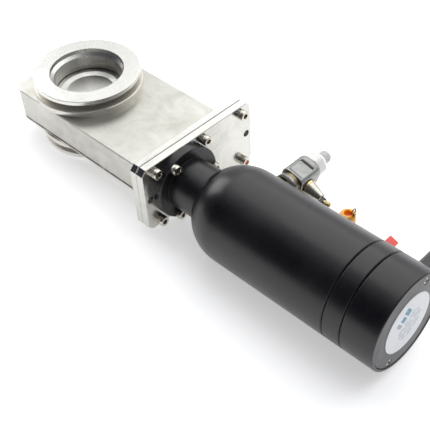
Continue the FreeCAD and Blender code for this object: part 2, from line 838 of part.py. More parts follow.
def gate_seal():
    """Return the gate's O-ring."""
    return ring_section(gate_seal_r, gate_seal_section, 0, 0, gate_seal_z(), "z")


def gate_screw_places():
    """Return the (x, y) of the screws that hold the seal plate on the carriage."""
    places = []
    for index in range(3):
        angle = math.radians(90 + 120 * index)
        places.append((gate_screw_circle_r * math.cos(angle), gate_screw_circle_r * math.sin(angle)))
    return places


def gate_screws():
    """Return the countersunk screws that hold the seal plate, seen from below."""
    screws = []
    for screw_x, screw_y in gate_screw_places():
        shank = rod(gate_screw_r, carriage_t + gate_t / 2, screw_x, screw_y, carriage_bottom_z, "z")
        head = cone(gate_screw_r * 2, gate_screw_r, gate_screw_r, screw_x, screw_y, carriage_bottom_z, "z")
        screws.append(shank.fuse(head))
    return Part.makeCompound(screws)


def carriage():
    """Return the carriage with its four roller cheeks and its shaft boss."""
    plate = block(carriage_far_x, carriage_near_x, -carriage_half_w, carriage_half_w, carriage_bottom_z,
                  gate_bottom_z)
    plate = plate.makeFillet(body_corner_r / 2, edges_along(plate, "z"))
    for offset in roller_x_offsets.values():
        for side in (-1, 1):
            outer_y = side * carriage_half_w
            inner_y = side * (carriage_half_w - cheek_t)
            cheek = block(offset - cheek_length / 2, offset + cheek_length / 2, min(outer_y, inner_y),
                          max(outer_y, inner_y), roller_z - axle_r * 2, gate_bottom_z)
            plate = plate.fuse(cheek)
    boss = block(carriage_near_x - boss_length, carriage_near_x, actuator_y - boss_half_w,
                 actuator_y + boss_half_w, mid_z - boss_half_h, mid_z + boss_half_h)
    plate = plate.fuse(boss)
    for offset in roller_x_offsets.values():
        plate = plate.cut(rod(axle_r, 2 * carriage_half_w, offset, -carriage_half_w, roller_z, "y"))
    plate = plate.cut(rod(shaft_r, boss_length, carriage_near_x - boss_length / 2, actuator_y, mid_z))
    for screw_x, screw_y in gate_screw_places():
        plate = plate.cut(rod(gate_screw_r, carriage_t, screw_x, screw_y, carriage_bottom_z, "z"))
        plate = plate.cut(cone(gate_screw_r * 2, gate_screw_r, gate_screw_r, screw_x, screw_y,
                               carriage_bottom_z, "z"))
    return plate


def roller_reach():
    """Return how far the axles reach from the middle of the valve."""
    return carriage_half_w + roller_space


def roller_axles():
    """Return the stub axles pressed into the cheeks."""
    axles = []
    for offset in roller_x_offsets.values():
        for side in (-1, 1):
            inner = carriage_half_w - cheek_t
            start = inner if side > 0 else -roller_reach()
            axles.append(rod(axle_r, roller_reach() - inner, offset, start, roller_z, "y"))
    return Part.makeCompound(axles)


def roller(offset, side):
    """Return one roller on its axle."""
    inner = carriage_half_w + axle_side_gap
    start = inner if side > 0 else -inner - roller_w
    wheel = pipe(roller_r, axle_r + running_gap, roller_w, offset, start, roller_z, "y")
    rims = [edge for edge in wheel.Edges if edge.Curve.TypeId == "Part::GeomCircle"
            and edge.Curve.Radius > axle_r * 2]
    return wheel.makeChamfer(axle_side_gap, rims)


def counter_plate():
    """Return the plate that pushes back against the lower port side."""
    return rod(counter_plate_r, counter_plate_t, 0, 0, counter_top_z - counter_plate_t, "z")


def leaf_springs():
    """Return the two bowed springs between the carriage and the counter plate."""
    springs = []
    high = carriage_bottom_z
    low = counter_top_z
    flat = spring_half_length / 3
    for side in (-1, 1):
        outline = [
            (-spring_half_length, high), (-spring_half_length + flat, high), (-flat, low + spring_t),
            (flat, low + spring_t), (spring_half_length - flat, high), (spring_half_length, high),
            (spring_half_length, high - spring_t), (spring_half_length - flat, high - spring_t),
            (flat, low), (-flat, low), (-spring_half_length + flat, high - spring_t),
            (-spring_half_length, high - spring_t),
        ]
        corners = [point(x, side * spring_y - spring_w / 2, z) for x, z in outline]
        corners.append(corners[0])
        springs.append(Part.Face(Part.makePolygon(corners)).extrude(point(0, spring_w, 0)))
    return Part.makeCompound(springs)


# ---- speed controller --------------------------------------------------------
def controller_stud():
    """Return the hollow stud that the controller swivels on."""
    length = controller_start_y + stud_engagement - barrel_wall_y
    stud = rod(stud_r, length, controller_x, barrel_wall_y, mid_z, "y")
    stud = stud.fuse(hexagon(stud_hex_af, stud_hex_t + fitting_seat, controller_x, side_y - fitting_seat,
                             mid_z, "y"))
    return stud.cut(rod(stud_r / 2, length, controller_x, barrel_wall_y, mid_z, "y"))


def controller_washer(index):
    """Return one ring of the stack under the controller: seal, steel washer or brass washer."""
    start = side_y + stud_hex_t + index * washer_stack_t
    outer_r = washer_stack_r - washer_step_r * index
    return pipe(outer_r, stud_r + 2 * close_gap, washer_stack_t - close_gap, controller_x, start, mid_z, "y")


def controller_body():
    """Return the grey die-cast body: round about the stud, with a flat side for the outlet."""
    body = rod(controller_body_r, controller_body_length, controller_x, controller_start_y, mid_z, "y")
    rims = edges_at(body, "y", controller_start_y) + edges_at(body, "y", controller_end_y)
    body = body.makeChamfer(plate_edge, rims)
    pad = block(controller_x, controller_x + controller_body_r, controller_start_y, controller_end_y,
                mid_z - controller_pad_half_w, mid_z + controller_pad_half_w)
    pad = pad.makeChamfer(plate_edge, edges_at(pad, "x", controller_x + controller_body_r))
    body = body.fuse(pad).removeSplitter()
    body = body.cut(rod(stud_r + running_gap, stud_engagement + close_gap, controller_x, controller_start_y,
                        mid_z, "y"))
    body = body.cut(rod(needle_r + 2 * close_gap, controller_body_length, controller_x, controller_start_y,
                        mid_z, "y"))
    body = body.cut(rod(air_passage_r, controller_body_r, controller_x, outlet_y, mid_z))
    body = body.cut(rod(outlet_hole_r + air_relief_step, air_relief_depth,
                        controller_x + controller_body_r - air_relief_depth, outlet_y, mid_z))
    return swivelled(body)


def swivelled(piece):
    """Return a controller piece turned to where the outlet points."""
    piece.rotate(point(controller_x, 0, mid_z), AXES["y"], controller_turn_deg)
    return piece


def outlet_ring():
    """Return the brass ring between the body and the tube nut."""
    start = controller_x + controller_body_r
    return swivelled(pipe(outlet_ring_r, outlet_hole_r, outlet_ring_t, start, outlet_y, mid_z))


def outlet_nut():
    """Return the tapered tube nut."""
    start = controller_x + controller_body_r + outlet_ring_t
    nut = cone(outlet_base_r, outlet_tip_r, outlet_length, start, outlet_y, mid_z)
    return swivelled(nut.cut(rod(outlet_hole_r, outlet_length, start, outlet_y, mid_z)))


def needle_nut():
    """Return the bright nut that holds the needle."""
    start = controller_end_y
    nut = hexagon(needle_nut_af, needle_nut_t, controller_x, start, mid_z, "y")
    nut = nut.common(rod(needle_nut_round_r, needle_nut_t, controller_x, start, mid_z, "y"))
    taper = cone(needle_nut_af / 2, needle_cone_tip_r, needle_cone_t, controller_x, start + needle_nut_t,
                 mid_z, "y")
    nut = nut.fuse(taper)
    return nut.cut(rod(needle_r + running_gap, needle_nut_t + needle_cone_t, controller_x, start, mid_z, "y"))


def needle():
    """Return the needle that meters the air."""
    stem_length = needle_length - needle_point_length
    stem = rod(needle_r, stem_length, controller_x, needle_tip_y - stem_length, mid_z, "y")
    tip = cone(needle_point_r, needle_r, needle_point_length, controller_x, needle_tip_y - needle_length,
               mid_z, "y")
    return stem.fuse(tip)


def adjusting_knob():
    """Return the domed knob that turns the needle."""
    knob = rod(knob_r, knob_t, controller_x, needle_tip_y, mid_z, "y")
    knob = knob.makeFillet(knob_edge_r, edges_at(knob, "y", needle_tip_y + knob_t))
    for index in range(knob_groove_count):
        angle = 2 * math.pi * index / knob_groove_count
        groove = rod(knob_groove_r, knob_groove_length, controller_x + knob_r * math.cos(angle), needle_tip_y,
                     mid_z + knob_r * math.sin(angle), "y")
        knob = knob.cut(groove)
    return knob


# ---- small fittings --------------------------------------------------------
def breather_stub():
    """Return the breather's dark stub."""
    return rod(breather_r, side_y + breather_reach - barrel_wall_y, breather_x, barrel_wall_y, mid_z, "y")


def breather_tip():
    """Return the breather's sintered brass tip, on a short arm beside the stub."""
    tip_y = side_y + breather_reach - breather_r
    arm = rod(breather_arm_r, breather_r + breather_arm_length, breather_x, tip_y, mid_z)
    ball = Part.makeSphere(breather_tip_r, point(breather_x + breather_r + breather_arm_length, tip_y, mid_z))
    tip = arm.fuse(ball)
    return tip.cut(rod(breather_r, 2 * breather_reach, breather_x, tip_y - breather_reach, mid_z, "y"))


def cap_stub():
    """Return the bronze stub under the orange cap."""
    stub = rod(cap_stub_r, cap_y - barrel_wall_y, cap_x, barrel_wall_y, cap_z, "y")
    return stub.cut(cap_core())


def cap_core():
    """Return the outer solid of the orange cap before its recess is cut."""
    core = rod(cap_r, cap_t, cap_x, cap_y, cap_z - cap_t / 2, "z")
    return core.makeFillet(cap_edge_r, edges_at(core, "z", cap_z + cap_t / 2))


def orange_cap():
    """Return the orange cap, with its finger recess and the upright ear for the pull ring."""
    recess = cone(cap_recess_floor_r, cap_recess_r, cap_recess_depth, cap_x, cap_y,
                  cap_z + cap_t / 2 - cap_recess_depth, "z")
    hole = ring_pivot()
    back_y = hole.y - ear_t / 2
    ear = block(hole.x - ear_r, hole.x + ear_r, back_y, back_y + ear_t,
                hole.z - pull_ring_rise - ear_root, hole.z)
    ear = ear.fuse(rod(ear_r, ear_t, hole.x, back_y, hole.z, "y"))
    ear = ear.cut(rod(pull_ring_wire_r + ear_hole_gap, ear_t, hole.x, back_y, hole.z, "y"))
    return cap_core().fuse(ear).cut(recess)


def ring_pivot():
    """Return the centre of the ear's hole, which the pull ring swings about."""
    angle = math.radians(pull_ring_deg)
    return point(cap_x + ear_offset * math.cos(angle), cap_y + ear_offset * math.sin(angle),
                 cap_z + cap_t / 2 + pull_ring_rise)


def pull_ring():
    """Return the wire ring that stands upright in the cap's ear."""
    centre = ring_pivot() + point(0, 0, pull_ring_r)
    return Part.makeTorus(pull_ring_r, pull_ring_wire_r, centre, AXES["x"])


def red_plug():
    """Return the red plug: a square head on a short stem, turned a little."""
    head_y = side_y + close_gap
    stem = rod(red_plug_stem_r, head_y - barrel_wall_y, red_plug_x, barrel_wall_y, red_plug_z, "y")
    head = block(red_plug_x - red_plug_w / 2, red_plug_x + red_plug_w / 2, head_y, side_y + red_plug_reach,
                 red_plug_z - red_plug_w / 2, red_plug_z + red_plug_w / 2)
    head = head.makeChamfer(plate_edge, edges_at(head, "y", side_y + red_plug_reach))
    head.rotate(point(red_plug_x, 0, red_plug_z), AXES["y"], red_plug_turn_deg)
    return stem.fuse(head)


def electrical_inlet():
    """Return the round electrical inlet on the rear housing."""
    seat_y = side_y - inlet_spot_depth
    inlet = rod(inlet_r, inlet_reach + inlet_spot_depth, inlet_x, seat_y, mid_z, "y")
    inlet = inlet.makeChamfer(plate_edge, edges_at(inlet, "y", side_y + inlet_reach))
    inlet = inlet.fuse(rod(inlet_flange_r, inlet_flange_t, inlet_x, seat_y, mid_z, "y"))
    inlet = inlet.fuse(rod(inlet_tail_r, inlet_tail_length, inlet_x, seat_y - inlet_tail_length, mid_z, "y"))
    socket_y = side_y + inlet_reach - inlet_socket_depth
    inlet = inlet.cut(rod(inlet_well_r, inlet_well_depth, inlet_x, socket_y - inlet_well_depth, mid_z, "y"))
    return inlet.cut(rod(inlet_socket_r, inlet_socket_depth, inlet_x, socket_y, mid_z, "y"))


def inlet_pins():
    """Return the contact pins inside the inlet."""
    pins = []
    start = side_y + inlet_reach - inlet_socket_depth - inlet_well_depth
    for index in range(pin_count):
        angle = math.radians(90 + 360 * index / pin_count)
        pins.append(rod(pin_r, pin_length, inlet_x + pin_circle_r * math.cos(angle), start,
                        mid_z + pin_circle_r * math.sin(angle), "y"))
    return Part.makeCompound(pins)


def switch_bracket():
    """Return the plate inside the housing that carries the switches."""
    return block(housing_start_x, housing_start_x + bracket_t, actuator_y - bracket_low_reach,
                 actuator_y + bracket_high_reach, mid_z - bracket_half_h, mid_z + bracket_half_h)


def position_switches():
    """Return the open and closed position switches."""
    start = housing_start_x + bracket_t
    switches = []
    for offset in switch_offsets:
        switches.append(block(start, start + switch_length, actuator_y - switch_w, actuator_y,
                              mid_z + offset, mid_z + offset + switch_h))
    return Part.makeCompound(switches)


def pilot_coil():
    """Return the coil of the pilot valve."""
    start = housing_start_x + bracket_t
    return rod(coil_r, coil_length, start, actuator_y + coil_r, mid_z)


def head_seal():
    """Return the O-ring between the head and the barrel."""
    groove_x = head_start_x - head_spigot / 2 - barrel_seam
    return ring_section(barrel_bore_r - head_seal_r, head_seal_r - close_gap, groove_x, actuator_y, mid_z)


def all_nodes():
    """Return every node's name and shape."""
    nodes = {
        "body_shell": body_shell(),
        "base_plate": base_plate(),
        "stitch_welds": stitch_welds(),
        "upper_collar": port_collar(),
        "lower_collar": upside_down(port_collar()),
        "upper_port_flange": port_flange(),
        "lower_port_flange": upside_down(port_flange()),
        "body_flange": body_flange(),
        "bonnet_seal": bonnet_seal_track(bonnet_seal_r - close_gap),
        "bonnet_plate": bonnet_plate(),
        "bonnet_screws": m4_screws(plate_screw_places(), bonnet_front_x),
        "bonnet_lock_washers": lock_washers(plate_screw_places(), bonnet_front_x),
        "actuator_flange": actuator_flange(),
        "cylinder_barrel": barrel(),
        "cylinder_head": cylinder_head(),
        "head_seal": head_seal(),
        "rear_housing": rear_housing(),
        "cover_posts": cover_posts(),
        "end_cover": end_cover(),
        "cover_screws": cover_screws(),
        "label_disc": label_disc(),
        "shaft_bush": shaft_bush(),
        "shaft_seals": shaft_seals(),
        "seal_spacer": seal_spacer(),
        "gate_shaft": gate_shaft(),
        "piston": piston(),
        "piston_seal": piston_seal(),
        "piston_wear_ring": wear_ring(),
        "piston_nut": piston_nut(),
        "gate_plate": gate_plate(),
        "gate_seal": gate_seal(),
        "gate_screws": gate_screws(),
        "gate_carriage": carriage(),
        "roller_axles": roller_axles(),
        "counter_plate": counter_plate(),
        "leaf_springs": leaf_springs(),
        "controller_stud": controller_stud(),
        "controller_seal": controller_washer(0),
        "controller_steel_washer": controller_washer(1),
        "controller_brass_washer": controller_washer(2),
        "controller_body": controller_body(),
        "outlet_ring": outlet_ring(),
        "outlet_nut": outlet_nut(),
        "needle_nut": needle_nut(),
        "needle": needle(),
        "adjusting_knob": adjusting_knob(),
        "breather_stub": breather_stub(),
        "breather_tip": breather_tip(),
        "cap_stub": cap_stub(),
        "orange_cap": orange_cap(),
        "pull_ring": pull_ring(),
        "red_plug": red_plug(),
        "electrical_inlet": electrical_inlet(),
        "inlet_pins": inlet_pins(),
        "switch_bracket": switch_bracket(),
        "position_switches": position_switches(),
        "pilot_coil": pilot_coil(),
    }
    flange_places = circle_places(flange_screw_circle_r, 3, flange_screw_first_deg)
    nodes["flange_screws"] = m4_screws(flange_places, flange_front_x - lock_washer_t)
    for end_name, offset in roller_x_offsets.items():
        nodes["rollers_" + end_name] = Part.makeCompound([roller(offset, -1), roller(offset, 1)])
    return nodes


def main():
    """Write one STEP file per node."""
    os.makedirs("parts", exist_ok=True)
    for name, shape in all_nodes().items():
        for solid in shape.Solids:
            if not solid.isValid():
                print("invalid", name)
        print(name, len(shape.Solids), round(shape.Volume, 1))
        shape.exportStep("parts/" + name + ".step")


main()
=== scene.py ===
"""The look of a pneumatic vacuum gate valve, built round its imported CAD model.

Each sub-assembly is a class that holds its sizes, makes the meshes that show more
than the CAD solids do, and dresses its nodes. Lengths are in metres.
"""
import json
import logging
import math
from dataclasses import dataclass, replace
from enum import Enum
from typing import Any, Callable, Sequence, Union

import bmesh
import bpy
from mathutils import Matrix, Vector

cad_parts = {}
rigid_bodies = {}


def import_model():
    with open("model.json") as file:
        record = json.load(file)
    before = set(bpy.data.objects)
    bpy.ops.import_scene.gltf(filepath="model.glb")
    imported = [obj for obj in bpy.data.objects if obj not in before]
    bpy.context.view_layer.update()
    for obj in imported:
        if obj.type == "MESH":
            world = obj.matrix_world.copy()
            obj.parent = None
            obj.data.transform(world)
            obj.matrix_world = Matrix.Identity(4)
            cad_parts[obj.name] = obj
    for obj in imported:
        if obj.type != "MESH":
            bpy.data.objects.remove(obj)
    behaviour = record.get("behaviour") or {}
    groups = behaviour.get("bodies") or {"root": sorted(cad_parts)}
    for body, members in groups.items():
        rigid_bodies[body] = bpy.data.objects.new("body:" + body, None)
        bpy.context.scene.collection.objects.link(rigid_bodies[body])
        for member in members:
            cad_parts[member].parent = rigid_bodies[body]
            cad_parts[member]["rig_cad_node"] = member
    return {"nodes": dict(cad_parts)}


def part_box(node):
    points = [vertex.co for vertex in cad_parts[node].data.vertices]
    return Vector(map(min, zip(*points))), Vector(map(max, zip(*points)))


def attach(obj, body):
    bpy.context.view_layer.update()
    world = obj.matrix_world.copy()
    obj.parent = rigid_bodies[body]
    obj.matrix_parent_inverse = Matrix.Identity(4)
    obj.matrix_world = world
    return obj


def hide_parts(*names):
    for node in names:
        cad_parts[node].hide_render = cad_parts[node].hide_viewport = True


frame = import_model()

log = logging.getLogger("gate_valve")

MM = 0.001
MIX_FIRST, MIX_SECOND, MIX_RESULT = 6, 7, 2
RANDOM_HIGHEST, RANDOM_RESULT = 3, 1
SAME_POINT = 1e-6
SAME_LEVEL = 1e-9
Colour = tuple[float, float, float]
RadiusRule = Union[float, Callable[[float], float]]


class Axis(Enum):
    """The row axis that a turned piece is made about, with its two cross directions."""

    X = (Vector((1, 0, 0)), Vector((0, 1, 0)), Vector((0, 0, 1)))
    Y = (Vector((0, 1, 0)), Vector((0, 0, 1)), Vector((1, 0, 0)))
    Z = (Vector((0, 0, 1)), Vector((1, 0, 0)), Vector((0, 1, 0)))

    @property
    def along(self) -> Vector:
        """The direction of the axis."""
        return self.value[0]

    def place(self, origin: Vector, along: float, radius: float, angle: float) -> Vector:
        """Return the point at a distance along the axis, a radius and an angle.

        Args:
            origin: A point on the axis.
            along: Distance from it along the axis.
            radius: Distance from the axis.
            angle: Angle round the axis in radians.

        Returns:
            The point in the row frame.
        """
        direction, first, second = self.value
        return origin + direction * along + (first * math.cos(angle) + second * math.sin(angle)) * radius


class Marks(Enum):
    """How a surface was worked, which sets the run of its fine marks."""

    BRUSHED = "brushed"
    TURNED = "turned"
    CAST = "cast"


# ---- shader and geometry trees ------------------------------------------------
class Graph:
    """A node tree that is filled by short calls."""

    def __init__(self, tree: bpy.types.NodeTree) -> None:
        """Keep the tree and empty it."""
        self.tree = tree
        tree.nodes.clear()

    def add(self, kind: str, inputs: dict[Any, Any] | None = None, **settings: Any) -> bpy.types.Node:
        """Add a node, set its properties, and fill or link its inputs.

        Args:
            kind: The node's type name.
            inputs: Socket name or number to a value, or to the output socket that feeds it.
            **settings: The node's own properties.

        Returns:
            The new node.
        """
        node = self.tree.nodes.new(kind)
        for name, value in settings.items():
            setattr(node, name, value)
        for name, value in (inputs or {}).items():
            if isinstance(value, bpy.types.NodeSocket):
                self.tree.links.new(value, node.inputs[name])
            else:
                node.inputs[name].default_value = value
        return node

    def math(self, operation: str, first: Any, second: Any = 0.0,
             clamp: bool = False) -> bpy.types.NodeSocket:
        """Return the result of a Math node on two values or sockets."""
        node = self.add("ShaderNodeMath", {0: first, 1: second}, operation=operation, use_clamp=clamp)
        return node.outputs[0]

    def vector(self, operation: str, first: Any, second: Any) -> bpy.types.NodeSocket:
        """Return the vector result of a Vector Math node."""
        return self.add("ShaderNodeVectorMath", {0: first, 1: second}, operation=operation).outputs[0]

    def measured(self, operation: str, first: Any, *second: Any) -> bpy.types.NodeSocket:
        """Return the plain value of a Vector Math node, such as a length."""
        inputs = dict(enumerate((first, *second)))
        return self.add("ShaderNodeVectorMath", inputs, operation=operation).outputs["Value"]

    def mixed(self, factor: Any, first: Any, second: Any) -> bpy.types.NodeSocket:
        """Return a colour between two colours.

        Args:
            factor: Share of the second colour.
            first: Colour or socket at factor 0.
            second: Colour or socket at factor 1.

        Returns:
            The mixed colour's socket.
        """
        inputs = {0: factor}
        for number, value in ((MIX_FIRST, first), (MIX_SECOND, second)):
            inputs[number] = value if isinstance(value, bpy.types.NodeSocket) else (*value, 1.0)
        return self.add("ShaderNodeMix", inputs, data_type="RGBA").outputs[MIX_RESULT]

    def ramp(self, value: Any, low: float, high: float, out_low: float = 0.0,
             out_high: float = 1.0) -> bpy.types.NodeSocket:
        """Return a value moved from one range to another and clamped to it."""
        inputs = {"Value": value, "From Min": low, "From Max": high, "To Min": out_low, "To Max": out_high}
        return self.add("ShaderNodeMapRange", inputs).outputs["Result"]


def open_tree(kind: str, name: str, inputs: dict[str, str], outputs: dict[str, str]) -> Graph:
    """Make a node tree with named sockets.

    Args:
        kind: ShaderNodeTree or GeometryNodeTree.
        name: The tree's name.
        inputs: Input name to socket type.
        outputs: Output name to socket type.

    Returns:
        The empty graph.
    """
    tree = bpy.data.node_groups.new(name, kind)
    for socket_name, socket_type in inputs.items():
        tree.interface.new_socket(socket_name, in_out="INPUT", socket_type=socket_type)
    for socket_name, socket_type in outputs.items():
        tree.interface.new_socket(socket_name, in_out="OUTPUT", socket_type=socket_type)
    return Graph(tree)


FLOAT = "NodeSocketFloat"
VECTOR = "NodeSocketVector"
GEOMETRY = "NodeSocketGeometry"

# where each noise starts and ends to show as a mark, and how much finer dust is than stains
SCRATCH_RANGE = (0.52, 0.68)
TURNING_RANGE = (0.5, 0.7)
STAIN_RANGE = (0.34, 0.68)
DUST_RANGE = (0.66, 0.76)
WEAR_RANGE = (0.99, 0.82)
DUST_FINENESS = 38.0


def scratch_group() -> bpy.types.NodeTree:
    """Make the group for fine straight scratches that run one way."""
    graph = open_tree("ShaderNodeTree", "fine_scratches", {"Vector": VECTOR, "Stretch": VECTOR},
                      {"Mask": FLOAT, "Height": FLOAT})
    given = graph.add("NodeGroupInput").outputs
    run = graph.vector("MULTIPLY", given["Vector"], given["Stretch"])
    noise = graph.add("ShaderNodeTexNoise", {"Vector": run, "Scale": 1.0, "Detail": 5.0, "Roughness": 0.72})
    mask = graph.ramp(noise.outputs["Fac"], *SCRATCH_RANGE)
    graph.add("NodeGroupOutput", {"Mask": mask, "Height": noise.outputs["Fac"]})
    return graph.tree


def turning_group() -> bpy.types.NodeTree:
    """Make the group for the fine grooves that a lathe leaves about an axis."""
    graph = open_tree("ShaderNodeTree", "turning_marks", {"Along": FLOAT, "Across": VECTOR, "Density": FLOAT},
                      {"Mask": FLOAT, "Height": FLOAT})
    given = graph.add("NodeGroupInput").outputs
    reach = graph.measured("LENGTH", given["Across"])
    run = graph.math("MULTIPLY", graph.math("ADD", reach, given["Along"]), given["Density"])
    fine = graph.add("ShaderNodeTexNoise", {"W": run, "Scale": 1.0, "Detail": 3.0}, noise_dimensions="1D")
    mask = graph.ramp(fine.outputs["Fac"], *TURNING_RANGE)
    graph.add("NodeGroupOutput", {"Mask": mask, "Height": fine.outputs["Fac"]})
    return graph.tree


def patch_group() -> bpy.types.NodeTree:
    """Make the group for the soft stains, handling marks and dust of used metal."""
    graph = open_tree("ShaderNodeTree", "stains_and_dust", {"Vector": VECTOR, "Scale": FLOAT},
                      {"Stains": FLOAT, "Dust": FLOAT})
    given = graph.add("NodeGroupInput").outputs
    stains = graph.add("ShaderNodeTexNoise", {"Vector": given["Vector"], "Scale": given["Scale"],
                                              "Detail": 6.0, "Roughness": 0.6, "Distortion": 0.8})
    fine_scale = graph.math("MULTIPLY", given["Scale"], DUST_FINENESS)
    dust = graph.add("ShaderNodeTexNoise", {"Vector": given["Vector"], "Scale": fine_scale, "Detail": 2.0})
    graph.add("NodeGroupOutput", {"Stains": graph.ramp(stains.outputs["Fac"], *STAIN_RANGE),
                                  "Dust": graph.ramp(dust.outputs["Fac"], *DUST_RANGE)})
    return graph.tree


def edge_group() -> bpy.types.NodeTree:
    """Make the group that softens sharp edges and finds where they are worn."""
    graph = open_tree("ShaderNodeTree", "edge_wear", {"Radius": FLOAT}, {"Normal": VECTOR, "Wear": FLOAT})
    given = graph.add("NodeGroupInput").outputs
    soft = graph.add("ShaderNodeBevel", {"Radius": given["Radius"]}, samples=4)
    flat = graph.add("ShaderNodeNewGeometry")
    facing = graph.measured("DOT_PRODUCT", soft.outputs["Normal"], flat.outputs["Normal"])
    wear = graph.ramp(facing, *WEAR_RANGE)
    graph.add("NodeGroupOutput", {"Normal": soft.outputs["Normal"], "Wear": wear})
    return graph.tree


def bar_group() -> bpy.types.NodeTree:
    """Make the group that gives a rectangle's mask from two coordinates."""
    names = ("U", "V", "Mid U", "Mid V", "Half U", "Half V")
    graph = open_tree("ShaderNodeTree", "printed_bar", {name: FLOAT for name in names}, {"Mask": FLOAT})
    given = graph.add("NodeGroupInput").outputs
    inside = []
    for axis in ("U", "V"):
        distance = graph.math("ABSOLUTE", graph.math("SUBTRACT", given[axis], given["Mid " + axis]))
        inside.append(graph.math("LESS_THAN", distance, given["Half " + axis]))
    graph.add("NodeGroupOutput", {"Mask": graph.math("MULTIPLY", *inside)})
    return graph.tree


@dataclass(frozen=True)
class Finish:
    """One finish of the valve: its colours, its gloss, and how it was worked."""

    name: str
    colour: Colour
    stain_colour: Colour
    roughness: float
    metallic: float = 0.0
    roughness_swing: float = 0.10
    marks: Marks = Marks.CAST
    stretch: Colour = (60.0, 2600.0, 2600.0)
    mark_depth: float = 0.00001
    mark_shade: float = 0.25
    turn_axis: Axis = Axis.Z
    turn_centre: Colour = (0.0, 0.0, 0.0)
    turn_density: float = 4200.0
    stain_scale: float = 42.0
    stain_amount: float = 0.5
    dust_amount: float = 0.0
    edge_radius: float = 0.0003
    edge_colour: Colour | None = None
    edge_amount: float = 0.5
    centre_colour: Colour | None = None
    centre_radius: float = 0.0028
    centre_core: float = 0.55
    coat: float = 0.0
    coat_roughness: float = 0.12
    # the seam fields paint a dark shadow line along a seam, varying in strength with the stains
    seam_z: float | None = None
    seam_half: float = 0.7 * MM
    seam_shadow_colour: Colour = (0.055, 0.04, 0.028)
    seam_fade: tuple[float, float, float, float] = (0.0, 0.5, 0.55, 1.0)
    dust_colour: Colour = (0.55, 0.53, 0.5)
    mark_darkness: float = 0.45
    mark_gloss: float = 0.8
    cast_stretch: Colour = (1500.0, 1500.0, 1500.0)


